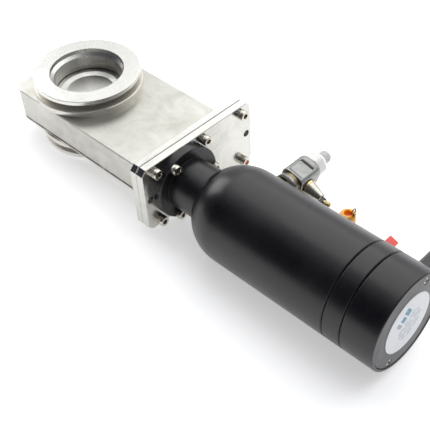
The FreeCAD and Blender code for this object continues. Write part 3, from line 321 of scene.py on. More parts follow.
class FinishShop:
    """Makes each finish's material once, from the shared shader groups."""

    def __init__(self) -> None:
        """Build the shared groups."""
        self.scratches = scratch_group()
        self.turning = turning_group()
        self.patches = patch_group()
        self.edges = edge_group()
        self.bar = bar_group()
        self.made: dict[str, bpy.types.Material] = {}

    def material(self, finish: Finish) -> bpy.types.Material:
        """Return the finish's material, made the first time it is asked for."""
        if finish.name not in self.made:
            self.made[finish.name] = self.build(finish)
        return self.made[finish.name]

    def build(self, finish: Finish) -> bpy.types.Material:
        """Build one material.

        Args:
            finish: What to build.

        Returns:
            The material.
        """
        material = bpy.data.materials.new(finish.name)
        material.use_nodes = True
        graph = Graph(material.node_tree)
        place = graph.add("ShaderNodeTexCoord").outputs["Object"]
        group = graph.add("ShaderNodeGroup", {"Vector": place, "Scale": finish.stain_scale},
                          node_tree=self.patches)
        stains, dust = group.outputs["Stains"], group.outputs["Dust"]
        edge = graph.add("ShaderNodeGroup", {"Radius": finish.edge_radius}, node_tree=self.edges)
        mask, height = self.worked(graph, finish, place)
        colour = graph.mixed(graph.math("MULTIPLY", stains, finish.stain_amount), finish.colour,
                             finish.stain_colour)
        dark = tuple(channel * finish.mark_darkness for channel in finish.colour)
        colour = graph.mixed(graph.math("MULTIPLY", mask, finish.mark_shade), colour, dark)
        if finish.centre_colour:
            away = graph.vector("SUBTRACT", place, finish.turn_centre)
            flat = graph.vector("MULTIPLY", away, (1.0, 1.0, 0.0))
            core = graph.ramp(graph.measured("LENGTH", flat), finish.centre_radius,
                              finish.centre_radius * finish.centre_core)
            colour = graph.mixed(core, colour, finish.centre_colour)
        # Painted shadow: a dark line along the seam, stronger where the stains are
        if finish.seam_z is not None:
            level = graph.add("ShaderNodeSeparateXYZ", {0: place}).outputs["Z"]
            seam = graph.add("ShaderNodeGroup", {"V": level, "Mid V": finish.seam_z, "Half U": 1.0,
                                                 "Half V": finish.seam_half}, node_tree=self.bar)
            shade = graph.math("MULTIPLY", seam.outputs["Mask"], graph.ramp(stains, *finish.seam_fade))
            colour = graph.mixed(shade, colour, finish.seam_shadow_colour)
        if finish.dust_amount:
            colour = graph.mixed(graph.math("MULTIPLY", dust, finish.dust_amount), colour,
                                 finish.dust_colour)
        if finish.edge_colour:
            worn = graph.math("MULTIPLY", edge.outputs["Wear"], finish.edge_amount)
            colour = graph.mixed(worn, colour, finish.edge_colour)
        low = finish.roughness - finish.roughness_swing / 2
        rough = graph.math("ADD", graph.math("MULTIPLY", stains, finish.roughness_swing), low)
        marked = graph.math("MULTIPLY", mask, finish.roughness_swing * finish.mark_gloss)
        rough = graph.math("ADD", rough, marked, clamp=True)
        bump = graph.add("ShaderNodeBump", {"Height": height, "Distance": finish.mark_depth, "Strength": 1.0,
                                            "Normal": edge.outputs["Normal"]})
        shader = graph.add("ShaderNodeBsdfPrincipled", {
            "Base Color": colour, "Roughness": rough, "Metallic": finish.metallic,
            "Normal": bump.outputs["Normal"], "Coat Weight": finish.coat,
            "Coat Roughness": finish.coat_roughness})
        graph.add("ShaderNodeOutputMaterial", {"Surface": shader.outputs["BSDF"]})
        return material

    def worked(self, graph: Graph, finish: Finish,
               place: bpy.types.NodeSocket) -> tuple[bpy.types.NodeSocket, bpy.types.NodeSocket]:
        """Return the mask and the height of the finish's working marks."""
        if finish.marks is Marks.TURNED:
            away = graph.vector("SUBTRACT", place, finish.turn_centre)
            split = graph.add("ShaderNodeSeparateXYZ", {0: away})
            across = tuple(1.0 - abs(part) for part in finish.turn_axis.along)
            flat = graph.vector("MULTIPLY", away, across)
            along = split.outputs["XYZ".index(finish.turn_axis.name)]
            inputs = {"Along": along, "Across": flat, "Density": finish.turn_density}
            group = graph.add("ShaderNodeGroup", inputs, node_tree=self.turning)
        else:
            stretch = finish.stretch if finish.marks is Marks.BRUSHED else finish.cast_stretch
            group = graph.add("ShaderNodeGroup", {"Vector": place, "Stretch": stretch},
                              node_tree=self.scratches)
        return group.outputs["Mask"], group.outputs["Height"]

    def dress(self, finish: Finish, *nodes: str) -> None:
        """Give CAD nodes the finish.

        Args:
            finish: The finish.
            *nodes: The nodes' names.
        """
        for name in nodes:
            piece = frame["nodes"][name]
            if not piece.material_slots:
                piece.data.materials.append(None)
            for slot in piece.material_slots:
                slot.material = self.material(finish)
            log.info("dressed %s in %s", name, finish.name)


# ---- meshes --------------------------------------------------------------------
@dataclass(frozen=True)
class Ring:
    """One ring of a turned mesh: where it is along the axis and how far out it runs."""

    along: float
    radius: RadiusRule


def turned_mesh(name: str, rings: Sequence[Ring], axis: Axis, origin: Vector,
                segments: int = 64) -> bpy.types.Object:
    """Make a closed mesh of rings about an axis.

    Args:
        name: The object's name.
        rings: The rings in order; the first and last are closed with a point.
        axis: The axis that it is turned about.
        origin: A point on the axis, which the rings are measured from.
        segments: Points in each ring.

    Returns:
        The linked object.
    """
    mesh = bmesh.new()
    rows = []
    for ring in rings:
        row = []
        for step in range(segments):
            angle = 2 * math.pi * step / segments
            radius = ring.radius(angle) if callable(ring.radius) else ring.radius
            row.append(mesh.verts.new(axis.place(origin, ring.along, radius, angle)))
        rows.append(row)
    for low, high in zip(rows, rows[1:]):
        for step in range(segments):
            following = (step + 1) % segments
            mesh.faces.new((low[step], low[following], high[following], high[step]))
    for row, ring in ((rows[0], rings[0]), (rows[-1], rings[-1])):
        tip = mesh.verts.new(origin + axis.along * ring.along)
        for step in range(segments):
            mesh.faces.new((row[step], row[(step + 1) % segments], tip))
    bmesh.ops.recalc_face_normals(mesh, faces=mesh.faces)
    return linked(name, mesh)


def in_scene(name: str, data: bpy.types.ID) -> bpy.types.Object:
    """Make an object of a mesh, light or camera and link it to the scene."""
    piece = bpy.data.objects.new(name, data)
    bpy.context.scene.collection.objects.link(piece)
    return piece


def linked(name: str, mesh: bmesh.types.BMesh, sharp_deg: float = 32.0) -> bpy.types.Object:
    """Turn a bmesh into a linked object, shaded smooth apart from its sharp edges.

    Args:
        name: The object's name.
        mesh: The mesh, which is freed.
        sharp_deg: The angle past which an edge is sharp.

    Returns:
        The linked object.
    """
    data = bpy.data.meshes.new(name)
    mesh.to_mesh(data)
    mesh.free()
    data.shade_smooth()
    data.set_sharp_from_angle(angle=math.radians(sharp_deg))
    return in_scene(name, data)


def points_mesh(name: str, places: Sequence[Vector]) -> bpy.types.Object:
    """Make an object of loose points for a geometry tree to fill."""
    data = bpy.data.meshes.new(name)
    data.from_pydata([tuple(place) for place in places], [], [])
    return in_scene(name, data)


def rounded_slab(low: Vector, high: Vector, corner: float, edge: float, name: str,
                 corner_steps: int = 8, edge_steps: int = 3) -> bpy.types.Object:
    """Make a box whose upright corners and rims are rounded.

    Args:
        low: Lowest corner.
        high: Highest corner.
        corner: Radius of the four upright corners.
        edge: Radius of the rims.
        name: The object's name.
        corner_steps: Facets round each corner.
        edge_steps: Facets across each rim.

    Returns:
        The linked object.
    """
    sharp_turn = 1.0
    mesh = bmesh.new()
    bmesh.ops.create_cube(mesh, size=1.0)
    size = high - low
    middle = (low + high) / 2
    for vertex in mesh.verts:
        vertex.co = Vector((vertex.co.x * size.x, vertex.co.y * size.y, vertex.co.z * size.z)) + middle
    upright = [e for e in mesh.edges if abs(e.verts[0].co.z - e.verts[1].co.z) > size.z / 2]
    bmesh.ops.bevel(mesh, geom=upright, offset=corner, segments=corner_steps, profile=0.5, affect="EDGES")
    rims = [e for e in mesh.edges if abs(e.verts[0].co.z - e.verts[1].co.z) < SAME_LEVEL
            and len(e.link_faces) == 2 and e.calc_face_angle(0.0) > sharp_turn]
    bmesh.ops.bevel(mesh, geom=rims, offset=edge, segments=edge_steps, profile=0.5, affect="EDGES")
    bmesh.ops.recalc_face_normals(mesh, faces=mesh.faces)
    return linked(name, mesh)


def settle(piece: bpy.types.Object) -> bpy.types.Object:
    """Turn a piece's modifiers into its plain mesh."""
    bpy.context.view_layer.update()
    graph = bpy.context.evaluated_depsgraph_get()
    data = bpy.data.meshes.new_from_object(piece.evaluated_get(graph), depsgraph=graph)
    piece.modifiers.clear()
    piece.data = data
    return piece


def carve(piece: bpy.types.Object, cutter: bpy.types.Object) -> bpy.types.Object:
    """Cut one closed mesh out of another and remove the cutter."""
    modifier = piece.modifiers.new("cut", "BOOLEAN")
    modifier.operation = "DIFFERENCE"
    modifier.object = cutter
    settle(piece)
    bpy.data.objects.remove(cutter)
    return piece


def run_tree(piece: bpy.types.Object, graph: Graph, values: dict[str, Any]) -> bpy.types.Object:
    """Run a geometry tree on a piece and keep the result as its mesh.

    Args:
        piece: The piece whose mesh is the tree's geometry input.
        graph: The tree.
        values: Input name to value.

    Returns:
        The same piece with its new mesh.
    """
    modifier = piece.modifiers.new("tree", "NODES")
    modifier.node_group = graph.tree
    for item in graph.tree.interface.items_tree:
        if item.in_out == "INPUT" and item.name in values:
            modifier[item.identifier] = values[item.name]
    return settle(piece)


def middle_of(box: tuple[Vector, Vector]) -> Vector:
    """Return the middle of a box that is given by its two corners."""
    low, high = box
    return (low + high) / 2


def quarter_arc(steps: int) -> list[tuple[float, float]]:
    """Return the cosine and sine at even steps from nought to a quarter turn."""
    angles = [step / steps * math.pi / 2 for step in range(steps + 1)]
    return [(math.cos(angle), math.sin(angle)) for angle in angles]


def solid_boxes(node: str) -> list[tuple[Vector, Vector]]:
    """Find the box of each separate solid in a CAD node.

    Args:
        node: The CAD node's name.

    Returns:
        The lowest and highest corner of each solid, in a fixed order.
    """
    mesh = bmesh.new()
    mesh.from_mesh(frame["nodes"][node].data)
    bmesh.ops.remove_doubles(mesh, verts=mesh.verts, dist=SAME_POINT)
    unseen = set(mesh.verts)
    boxes = []
    while unseen:
        island = [unseen.pop()]
        low, high = island[0].co.copy(), island[0].co.copy()
        while island:
            vertex = island.pop()
            low = Vector(map(min, low, vertex.co))
            high = Vector(map(max, high, vertex.co))
            for edge in vertex.link_edges:
                other = edge.other_vert(vertex)
                if other in unseen:
                    unseen.discard(other)
                    island.append(other)
        boxes.append((low, high))
    mesh.free()
    return sorted(boxes, key=lambda box: tuple(round(part, 6) for part in box[0]))


def placed(piece: bpy.types.Object, body: str, slot: str, *nodes: str) -> None:
    """Fix a finished piece to its body, and let it stand for CAD nodes.

    Args:
        piece: The piece, at the origin and with its material on.
        body: The body that it rides.
        slot: Not used.
        *nodes: The CAD nodes that it stands for, if any.
    """
    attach(piece, body)
    if nodes:
        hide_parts(*nodes)
    log.info("built %s on %s", piece.name, body)


# ---- geometry trees -------------------------------------------------------------
def scatter_tree() -> Graph:
    """Make the tree that puts a screw on each point, each turned by its own angle."""
    graph = open_tree("GeometryNodeTree", "screws_on_points", {
        "Geometry": GEOMETRY, "Screw": "NodeSocketObject", "Turn": FLOAT, "Seed": "NodeSocketInt",
        "Finish": "NodeSocketMaterial"}, {"Geometry": GEOMETRY})
    given = graph.add("NodeGroupInput").outputs
    screw = graph.add("GeometryNodeObjectInfo", {"Object": given["Screw"]})
    turn = graph.add("FunctionNodeRandomValue", {"Seed": given["Seed"], RANDOM_HIGHEST: given["Turn"]},
                     data_type="FLOAT")
    angle = graph.add("ShaderNodeCombineXYZ", {"X": turn.outputs[RANDOM_RESULT]})
    stand = graph.add("GeometryNodeInstanceOnPoints", {
        "Points": given["Geometry"], "Instance": screw.outputs["Geometry"], "Rotation": angle.outputs[0]})
    return finish_tree(graph, stand.outputs["Instances"], given["Finish"])


def weld_tree() -> Graph:
    """Make the tree that lays a row of overlapping ripples at each stitch."""
    graph = open_tree("GeometryNodeTree", "weld_ripples", {
        "Geometry": GEOMETRY, "Length": FLOAT, "Ripples": "NodeSocketInt", "Ripple size": VECTOR,
        "Finish": "NodeSocketMaterial"}, {"Geometry": GEOMETRY})
    given = graph.add("NodeGroupInput").outputs
    gaps = graph.math("SUBTRACT", given["Ripples"], 1.0)
    step = graph.math("DIVIDE", given["Length"], gaps)
    start = graph.add("ShaderNodeCombineXYZ", {"X": graph.math("MULTIPLY", given["Length"], -0.5)})
    offset = graph.add("ShaderNodeCombineXYZ", {"X": step})
    line = graph.add("GeometryNodeMeshLine", {"Count": given["Ripples"], "Start Location": start.outputs[0],
                                              "Offset": offset.outputs[0]})
    bead = graph.add("GeometryNodeMeshUVSphere", {"Segments": 14, "Rings": 8, "Radius": 1.0})
    row = graph.add("GeometryNodeInstanceOnPoints", {
        "Points": line.outputs["Mesh"], "Instance": bead.outputs["Mesh"], "Scale": given["Ripple size"]})
    whole = graph.add("GeometryNodeRealizeInstances", {"Geometry": row.outputs["Instances"]})
    stand = graph.add("GeometryNodeInstanceOnPoints", {
        "Points": given["Geometry"], "Instance": whole.outputs["Geometry"]})
    return finish_tree(graph, stand.outputs["Instances"], given["Finish"])


def rib_tree() -> Graph:
    """Make the tree that adds a crown of upright grip ribs about the Y axis to a knob."""
    graph = open_tree("GeometryNodeTree", "grip_ribs", {
        "Geometry": GEOMETRY, "Centre": VECTOR, "Circle": FLOAT, "Count": "NodeSocketInt", "Rib": FLOAT,
        "Length": FLOAT, "Finish": "NodeSocketMaterial"}, {"Geometry": GEOMETRY})
    given = graph.add("NodeGroupInput").outputs
    circle = graph.add("GeometryNodeMeshCircle", {"Vertices": given["Count"], "Radius": given["Circle"]})
    onto_y = (math.pi / 2, 0.0, 0.0)
    upright = graph.add("GeometryNodeTransform", {
        "Geometry": circle.outputs["Mesh"], "Translation": given["Centre"], "Rotation": onto_y})
    rib = graph.add("GeometryNodeMeshCylinder", {
        "Vertices": 10, "Radius": given["Rib"], "Depth": given["Length"]})
    laid = graph.add("GeometryNodeTransform", {"Geometry": rib.outputs["Mesh"], "Rotation": onto_y})
    crown = graph.add("GeometryNodeInstanceOnPoints", {
        "Points": upright.outputs["Geometry"], "Instance": laid.outputs["Geometry"]})
    both = graph.add("GeometryNodeJoinGeometry")
    graph.tree.links.new(crown.outputs["Instances"], both.inputs[0])
    graph.tree.links.new(given["Geometry"], both.inputs[0])
    return finish_tree(graph, both.outputs[0], given["Finish"])


def finish_tree(graph: Graph, geometry: bpy.types.NodeSocket, finish: bpy.types.NodeSocket) -> Graph:
    """End a geometry tree with Realize Instances and Set Material."""
    whole = graph.add("GeometryNodeRealizeInstances", {"Geometry": geometry})
    painted = graph.add("GeometryNodeSetMaterial", {"Geometry": whole.outputs[0], "Material": finish})
    graph.add("NodeGroupOutput", {"Geometry": painted.outputs[0]})
    return graph


# ---- finishes ---------------------------------------------------------------------
SATIN_STEEL = Finish(
    "satin_steel", (0.58, 0.575, 0.535), (0.44, 0.43, 0.385), 0.34, 1.0, 0.12, Marks.BRUSHED,
    stretch=(70.0, 2400.0, 2400.0), mark_depth=0.000012, stain_amount=0.8, stain_scale=60.0,
    edge_radius=0.0005)
PORT_STEEL = Finish(
    "port_steel", (0.78, 0.775, 0.74), (0.64, 0.63, 0.59), 0.27, 0.92, 0.1, Marks.TURNED,
    mark_depth=0.000012, mark_shade=0.30, turn_density=2600.0, stain_amount=0.35, edge_radius=0.00035)
COLLAR_STEEL = Finish(
    "collar_steel", (0.80, 0.77, 0.71), (0.64, 0.60, 0.53), 0.40, 0.85, 0.1, Marks.TURNED,
    mark_depth=0.00001, stain_amount=0.4, edge_radius=0.0003)
PLATE_STEEL = Finish(
    "plate_steel", (0.65, 0.645, 0.61), (0.47, 0.46, 0.425), 0.22, 1.0, 0.08, Marks.BRUSHED,
    stretch=(2000.0, 40.0, 1500.0), mark_depth=0.000004, mark_shade=0.2, stain_amount=0.55,
    edge_radius=0.0004)
WELD_STEEL = Finish(
    "weld_steel", (0.66, 0.63, 0.57), (0.45, 0.38, 0.27), 0.32, 1.0, 0.16, stain_scale=260.0)
SCREW_STEEL = Finish(
    "screw_steel", (0.66, 0.63, 0.57), (0.46, 0.42, 0.34), 0.22, 1.0, 0.12, stain_scale=300.0,
    mark_depth=0.000004, edge_radius=0.00015)
INNER_STEEL = Finish(
    "inner_steel", (0.60, 0.595, 0.565), (0.47, 0.465, 0.435), 0.32, 1.0, 0.1, Marks.TURNED,
    mark_depth=0.00001, stain_amount=0.4)
BLACK_BARREL = Finish(
    "black_anodised", (0.005, 0.0048, 0.007), (0.010, 0.0096, 0.0105), 0.31, 0.0, 0.1, Marks.TURNED,
    turn_axis=Axis.X, mark_depth=0.0000015, mark_shade=0.3, stain_scale=26.0, stain_amount=0.6,
    dust_amount=0.05, edge_radius=0.0004, edge_colour=(0.22, 0.22, 0.23), edge_amount=0.3)
COVER_GREY = Finish(
    "cover_grey", (0.075, 0.076, 0.08), (0.055, 0.055, 0.057), 0.36, 0.3, 0.12, Marks.TURNED,
    turn_axis=Axis.X, mark_depth=0.000006, stain_scale=60.0, edge_radius=0.0003)
BARE_ALUMINIUM = Finish("bare_aluminium", (0.72, 0.72, 0.73), (0.6, 0.6, 0.6), 0.33, 1.0, 0.1)
BLACK_RUBBER = Finish("black_rubber", (0.025, 0.025, 0.026), (0.05, 0.05, 0.05), 0.55, stain_scale=120.0)
BRASS = Finish(
    "brass", (0.76, 0.60, 0.30), (0.50, 0.36, 0.16), 0.26, 1.0, 0.14, stain_scale=220.0,
    edge_radius=0.0002)
BRONZE = Finish("bronze", (0.36, 0.22, 0.11), (0.20, 0.12, 0.07), 0.38, 1.0, 0.16, stain_scale=220.0)
SINTERED = Finish(
    "sintered_brass", (0.60, 0.50, 0.24), (0.34, 0.28, 0.13), 0.45, 1.0, 0.2,
    stretch=(4200.0, 4200.0, 4200.0), mark_depth=0.00012, mark_shade=0.5, stain_scale=500.0)
WHITE_PLASTIC = Finish("white_plastic", (0.82, 0.80, 0.76), (0.7, 0.68, 0.62), 0.5)
CAST_ZINC = Finish(
    "cast_zinc", (0.35, 0.355, 0.34), (0.235, 0.24, 0.23), 0.42, 0.85, 0.16, mark_depth=0.00004,
    mark_shade=0.3, stain_scale=150.0, edge_radius=0.0004, edge_colour=(0.74, 0.74, 0.72))
NICKEL = Finish(
    "nickel", (0.96, 0.965, 0.94), (0.88, 0.88, 0.85), 0.42, 0.0, 0.12, stain_scale=240.0,
    edge_radius=0.0004)
AGED_BRASS = Finish(
    "aged_brass", (0.24, 0.19, 0.11), (0.13, 0.10, 0.07), 0.36, 1.0, 0.16, stain_scale=220.0,
    edge_radius=0.0002)
DARK_STEEL = Finish(
    "dark_steel", (0.30, 0.29, 0.27), (0.16, 0.15, 0.14), 0.32, 1.0, 0.16, stain_scale=220.0,
    edge_radius=0.0002)
WORN_NICKEL = Finish(
    "worn_nickel", (0.60, 0.58, 0.52), (0.40, 0.37, 0.30), 0.28, 1.0, 0.16, Marks.TURNED, turn_axis=Axis.X,
    mark_depth=0.000012, stain_scale=240.0)
KNOB_WHITE = Finish(
    "knob_white", (0.74, 0.745, 0.74), (0.6, 0.6, 0.59), 0.38, 0.0, 0.1, stain_scale=300.0,
    mark_depth=0.00001, coat=0.2)
BLACK_PLASTIC = Finish(
    "black_plastic", (0.035, 0.035, 0.036), (0.06, 0.06, 0.06), 0.45, stain_scale=120.0,
    mark_depth=0.00003, edge_radius=0.0003)
ORANGE_PLASTIC = Finish(
    "orange_plastic", (1.0, 0.47, 0.025), (0.95, 0.37, 0.012), 0.38, 0.0, 0.1, stain_scale=260.0,
    mark_depth=0.00001, centre_colour=(0.78, 0.10, 0.005), coat=0.25)
RED_PLASTIC = Finish(
    "red_plastic", (0.95, 0.075, 0.05), (0.86, 0.055, 0.04), 0.34, 0.0, 0.1, stain_scale=260.0,
    mark_depth=0.00001, edge_radius=0.0004, coat=0.25)
PAINT_RED = Finish(
    "torque_paint", (1.0, 0.15, 0.02), (0.85, 0.09, 0.015), 0.4, stain_scale=900.0, mark_depth=0.00006)


# ---- sub-assemblies ---------------------------------------------------------------
@dataclass
class Ports:
    """The two quick-clamp ports with their collars."""

    shop: FinishShop

    def build(self) -> None:
        """Dress the flanges and collars."""
        self.shop.dress(PORT_STEEL, "upper_port_flange", "lower_port_flange")
        self.shop.dress(COLLAR_STEEL, "upper_collar", "lower_collar")


@dataclass
class ValveBody:
    """The flat body: shell, base plate, and the stitch welds in their seam."""

    shop: FinishShop
    ripples: int = 5
    ripple_reach: float = 0.62

    def build(self) -> None:
        """Dress the body and lay its welds."""
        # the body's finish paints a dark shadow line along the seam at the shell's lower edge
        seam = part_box("body_shell")[0].z
        self.shop.dress(replace(SATIN_STEEL, seam_z=seam), "body_shell", "base_plate")
        self.welds()

    def welds(self) -> None:
        """Make the rippled beads that stand for the plain weld solids."""
        boxes = solid_boxes("stitch_welds")
        low, high = boxes[0]
        size = high - low
        length = size.x * (1 - 1 / self.ripples)
        ripple = Vector((size.x / self.ripples * self.ripple_reach, size.y / 2, size.z / 2))
        centres = [(box_low + box_high) / 2 for box_low, box_high in boxes]
        piece = points_mesh("rippled_welds", centres)
        run_tree(piece, weld_tree(), {"Length": length, "Ripples": self.ripples, "Ripple size": tuple(ripple),
                                      "Finish": self.shop.material(WELD_STEEL)})
        placed(piece, "valve_body", "weld_steel", "stitch_welds")


@dataclass(frozen=True)
class ScrewSize:
    """What the box of a socket screw does not tell: its grip and its socket."""

    grip: float
    apothem: float
    depth: float


PLATE_SCREW = ScrewSize(9 * MM, 1.6 * MM, 3.2 * MM)
COVER_SCREW = ScrewSize(8 * MM, 1.15 * MM, 2.2 * MM)


@dataclass
class Screws:
    """Socket-head screws with knurled heads, made once for each size."""

    shop: FinishShop
    tree: Graph
    knurls: int = 36
    points_per_knurl: int = 4
    knurl_depth: float = 0.10 * MM
    rim: float = 0.32 * MM
    shank_share: float = 0.557
    knurl_top: float = 0.76
    plain_start: float = 0.80
    mouth_flare: float = 1.12
    floor_share: float = 0.2

    def knurled(self, head_r: float) -> Callable[[float], float]:
        """Return the radius rule of a knurled head."""
        return lambda angle: head_r - self.knurl_depth * (1 + math.cos(self.knurls * angle)) / 2

    @staticmethod
    def hexagon(apothem: float) -> Callable[[float], float]:
        """Return the radius rule of a hexagon."""
        sixth = math.pi / 3
        return lambda angle: apothem / math.cos(angle % sixth - sixth / 2)

    def pattern(self, size: ScrewSize, head_r: float, head_h: float) -> bpy.types.Object:
        """Make one screw at the origin along -X, with its head's seat at x 0.

        Args:
            size: The grip and the socket.
            head_r: Head radius.
            head_h: Head height.

        Returns:
            The pattern object.
        """
        knurl = self.knurled(head_r)
        shank_r = head_r * self.shank_share
        plain_r = head_r - self.knurl_depth
        socket = self.hexagon(size.apothem)
        rings = [
            Ring(-size.grip, shank_r - self.rim), Ring(-size.grip + self.rim, shank_r), Ring(0.0, shank_r),
            Ring(0.0, head_r - self.rim / 2), Ring(self.rim / 2, knurl), Ring(head_h * self.knurl_top, knurl),
            Ring(head_h * self.plain_start, plain_r), Ring(head_h - self.rim, plain_r),
            Ring(head_h - self.rim * 0.3, head_r - self.rim * 0.45), Ring(head_h, head_r - self.rim),
            Ring(head_h, self.hexagon(size.apothem * self.mouth_flare)),
            Ring(head_h - self.rim * 0.6, socket), Ring(head_h - size.depth, socket),
            Ring(head_h - size.depth - self.rim, size.apothem * self.floor_share),
        ]
        segments = self.knurls * self.points_per_knurl
        return turned_mesh("screw_pattern", rings, Axis.X, Vector((0, 0, 0)), segments)

    def lay(self, node: str, name: str, size: ScrewSize, seed: int) -> None:
        """Put a screw where each solid of a CAD node is.

        Args:
            node: The CAD node of screws that they stand for.
            name: The new piece's name.
            size: The grip and the socket.
            seed: Seed for the screws' angles.
        """
        boxes = solid_boxes(node)
        low, high = boxes[0]
        pattern = self.pattern(size, (high.y - low.y) / 2, high.x - low.x - size.grip)
        seats = [Vector((box_low.x + size.grip, (box_low.y + box_high.y) / 2, (box_low.z + box_high.z) / 2))
                 for box_low, box_high in boxes]
        piece = points_mesh(name, seats)
        run_tree(piece, self.tree, {"Screw": pattern, "Turn": math.pi / 3, "Seed": seed,
                                    "Finish": self.shop.material(SCREW_STEEL)})
        bpy.data.objects.remove(pattern)
        placed(piece, "valve_body", "screw_steel", node)


@dataclass
class EndPlates:
    """The body flange and the bonnet, with their seal, screws and washers."""

    shop: FinishShop
    screws: Screws
    paint_r: float = 1.55 * MM
    paint_h: float = 1.3 * MM
    paint_root: float = 0.5 * MM
    paint_layers: int = 7
    paint_segments: int = 28

    def build(self) -> None:
        """Dress the plates and lay their screws."""
        self.shop.dress(PLATE_STEEL, "body_flange", "bonnet_plate")
        self.shop.dress(BLACK_RUBBER, "bonnet_seal")
        self.shop.dress(SCREW_STEEL, "bonnet_lock_washers")
        self.screws.lay("bonnet_screws", "bonnet_cap_screws", PLATE_SCREW, seed=3)
        self.screws.lay("flange_screws", "flange_cap_screws", PLATE_SCREW, seed=8)
        self.paint()

    def paint(self) -> None:
        """Make the dab of paint in the socket of the lower screw on the fittings side."""
        low, high = max(solid_boxes("bonnet_screws"), key=lambda box: box[0].y - box[0].z)
        seat = Vector((high.x - self.paint_h, (low.y + high.y) / 2, (low.z + high.z) / 2))
        rings = [Ring(-self.paint_root, self.paint_r * 0.7), Ring(0.0, self.paint_r * 0.85)]
        for cosine, sine in quarter_arc(self.paint_layers)[1:-1]:
            rings.append(Ring(self.paint_h * sine, self.lumpy(cosine)))
        piece = turned_mesh("torque_paint", rings, Axis.X, seat, self.paint_segments)
        piece.data.materials.append(self.shop.material(PAINT_RED))
        placed(piece, "valve_body", "red_plastic")

    def lumpy(self, share: float) -> Callable[[float], float]:
        """Return the radius rule of an uneven dab at a share of its full radius."""
        return lambda angle: self.paint_r * share * (0.9 + 0.07 * math.sin(3 * angle + 4 * share))


@dataclass
class Actuator:
    """The black air cylinder with its flange, head, rear housing and cover."""

    shop: FinishShop
    screws: Screws
    label_turn_deg: float = -38.0
    blue_ink: Colour = (0.10, 0.30, 0.42)
    grey_ink: Colour = (0.30, 0.36, 0.42)
    bar_rows: tuple[tuple[int, ...], ...] = ((5, 3, 6), (4, 7, 3, 2), (6, 4, 5), (3, 5, 4, 3), (4, 6))
    first_row: float = 1.6 * MM
    row_pitch: float = 2.9 * MM
    row_half: float = 0.5 * MM
    letter_pitch: float = 1.15 * MM
    letter_half: float = 0.54 * MM

    def build(self) -> None:
        """Dress the cylinder and make its label and cover screws."""
        self.shop.dress(self.centred(BLACK_BARREL), "actuator_flange", "cylinder_barrel", "cylinder_head",
                        "rear_housing")
        self.shop.dress(self.centred(COVER_GREY), "end_cover")
        self.shop.dress(BLACK_RUBBER, "head_seal")
        self.shop.dress(BARE_ALUMINIUM, "cover_posts", "switch_bracket")
        self.shop.dress(BLACK_PLASTIC, "position_switches", "pilot_coil")
        self.screws.lay("cover_screws", "cover_cap_screws", COVER_SCREW, seed=5)
        self.label()

    @staticmethod
    def centred(finish: Finish) -> Finish:
        """Return a finish whose turning marks run about the cylinder's axis."""
        middle = middle_of(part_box("label_disc"))
        return replace(finish, turn_centre=(0.0, middle.y, middle.z))

    def label(self) -> None:
        """Make the label's pale film with plain printed bars."""
        material = bpy.data.materials.new("label_film")
        material.use_nodes = True
        graph = Graph(material.node_tree)
        middle = middle_of(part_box("label_disc"))
        place = graph.add("ShaderNodeTexCoord").outputs["Object"]
        mapped = graph.add("ShaderNodeMapping", {"Vector": graph.vector("SUBTRACT", place, tuple(middle)),
                                                 "Rotation": (math.radians(self.label_turn_deg), 0.0, 0.0)})
        split = graph.add("ShaderNodeSeparateXYZ", {0: mapped.outputs[0]}).outputs
        noise = graph.add("ShaderNodeTexNoise", {"Vector": place, "Scale": 260.0, "Detail": 4.0})
        film = noise.outputs["Fac"]
        colour = graph.mixed(film, (0.83, 0.85, 0.87), (0.74, 0.76, 0.79))
        for mid_u, mid_v, half_u, half_v, ink in self.printed_bars():
            bar = graph.add("ShaderNodeGroup", {
                "U": split["Y"], "V": split["Z"], "Mid U": mid_u, "Mid V": mid_v, "Half U": half_u,
                "Half V": half_v}, node_tree=self.shop.bar)
            colour = graph.mixed(bar.outputs["Mask"], colour, ink)
        bump = graph.add("ShaderNodeBump", {"Height": film, "Distance": 0.00002})
        shader = graph.add("ShaderNodeBsdfPrincipled", {
            "Base Color": colour, "Roughness": graph.ramp(film, 0.3, 0.7, 0.34, 0.46),
            "Normal": bump.outputs["Normal"]})
        graph.add("ShaderNodeOutputMaterial", {"Surface": shader.outputs["BSDF"]})
        piece = frame["nodes"]["label_disc"]
        for slot in piece.material_slots:
            slot.material = material
        log.info("printed the label")

    def printed_bars(self) -> list[tuple[float, float, float, float, Colour]]:
        """List the label's bars: three blocks, then rows of short bars.

        Returns:
            Each bar's middle across and up, its half sizes across and up, and its ink.
        """
        blue, grey = self.blue_ink, self.grey_ink
        bars = [(-4.0 * MM, 8.6 * MM, 1.3 * MM, 3.0 * MM, grey),
                (0.5 * MM, 8.2 * MM, 1.9 * MM, 2.6 * MM, blue),
                (5.6 * MM, 9.0 * MM, 2.1 * MM, 3.4 * MM, blue)]
        for row, words in enumerate(self.bar_rows):
            start = -(sum(words) + len(words) - 1) / 2
            level = self.first_row - self.row_pitch * row
            for word in words:
                bars.append(((start + word / 2) * self.letter_pitch, level, word * self.letter_half,
                             self.row_half, grey))
                start += word + 1
        return bars


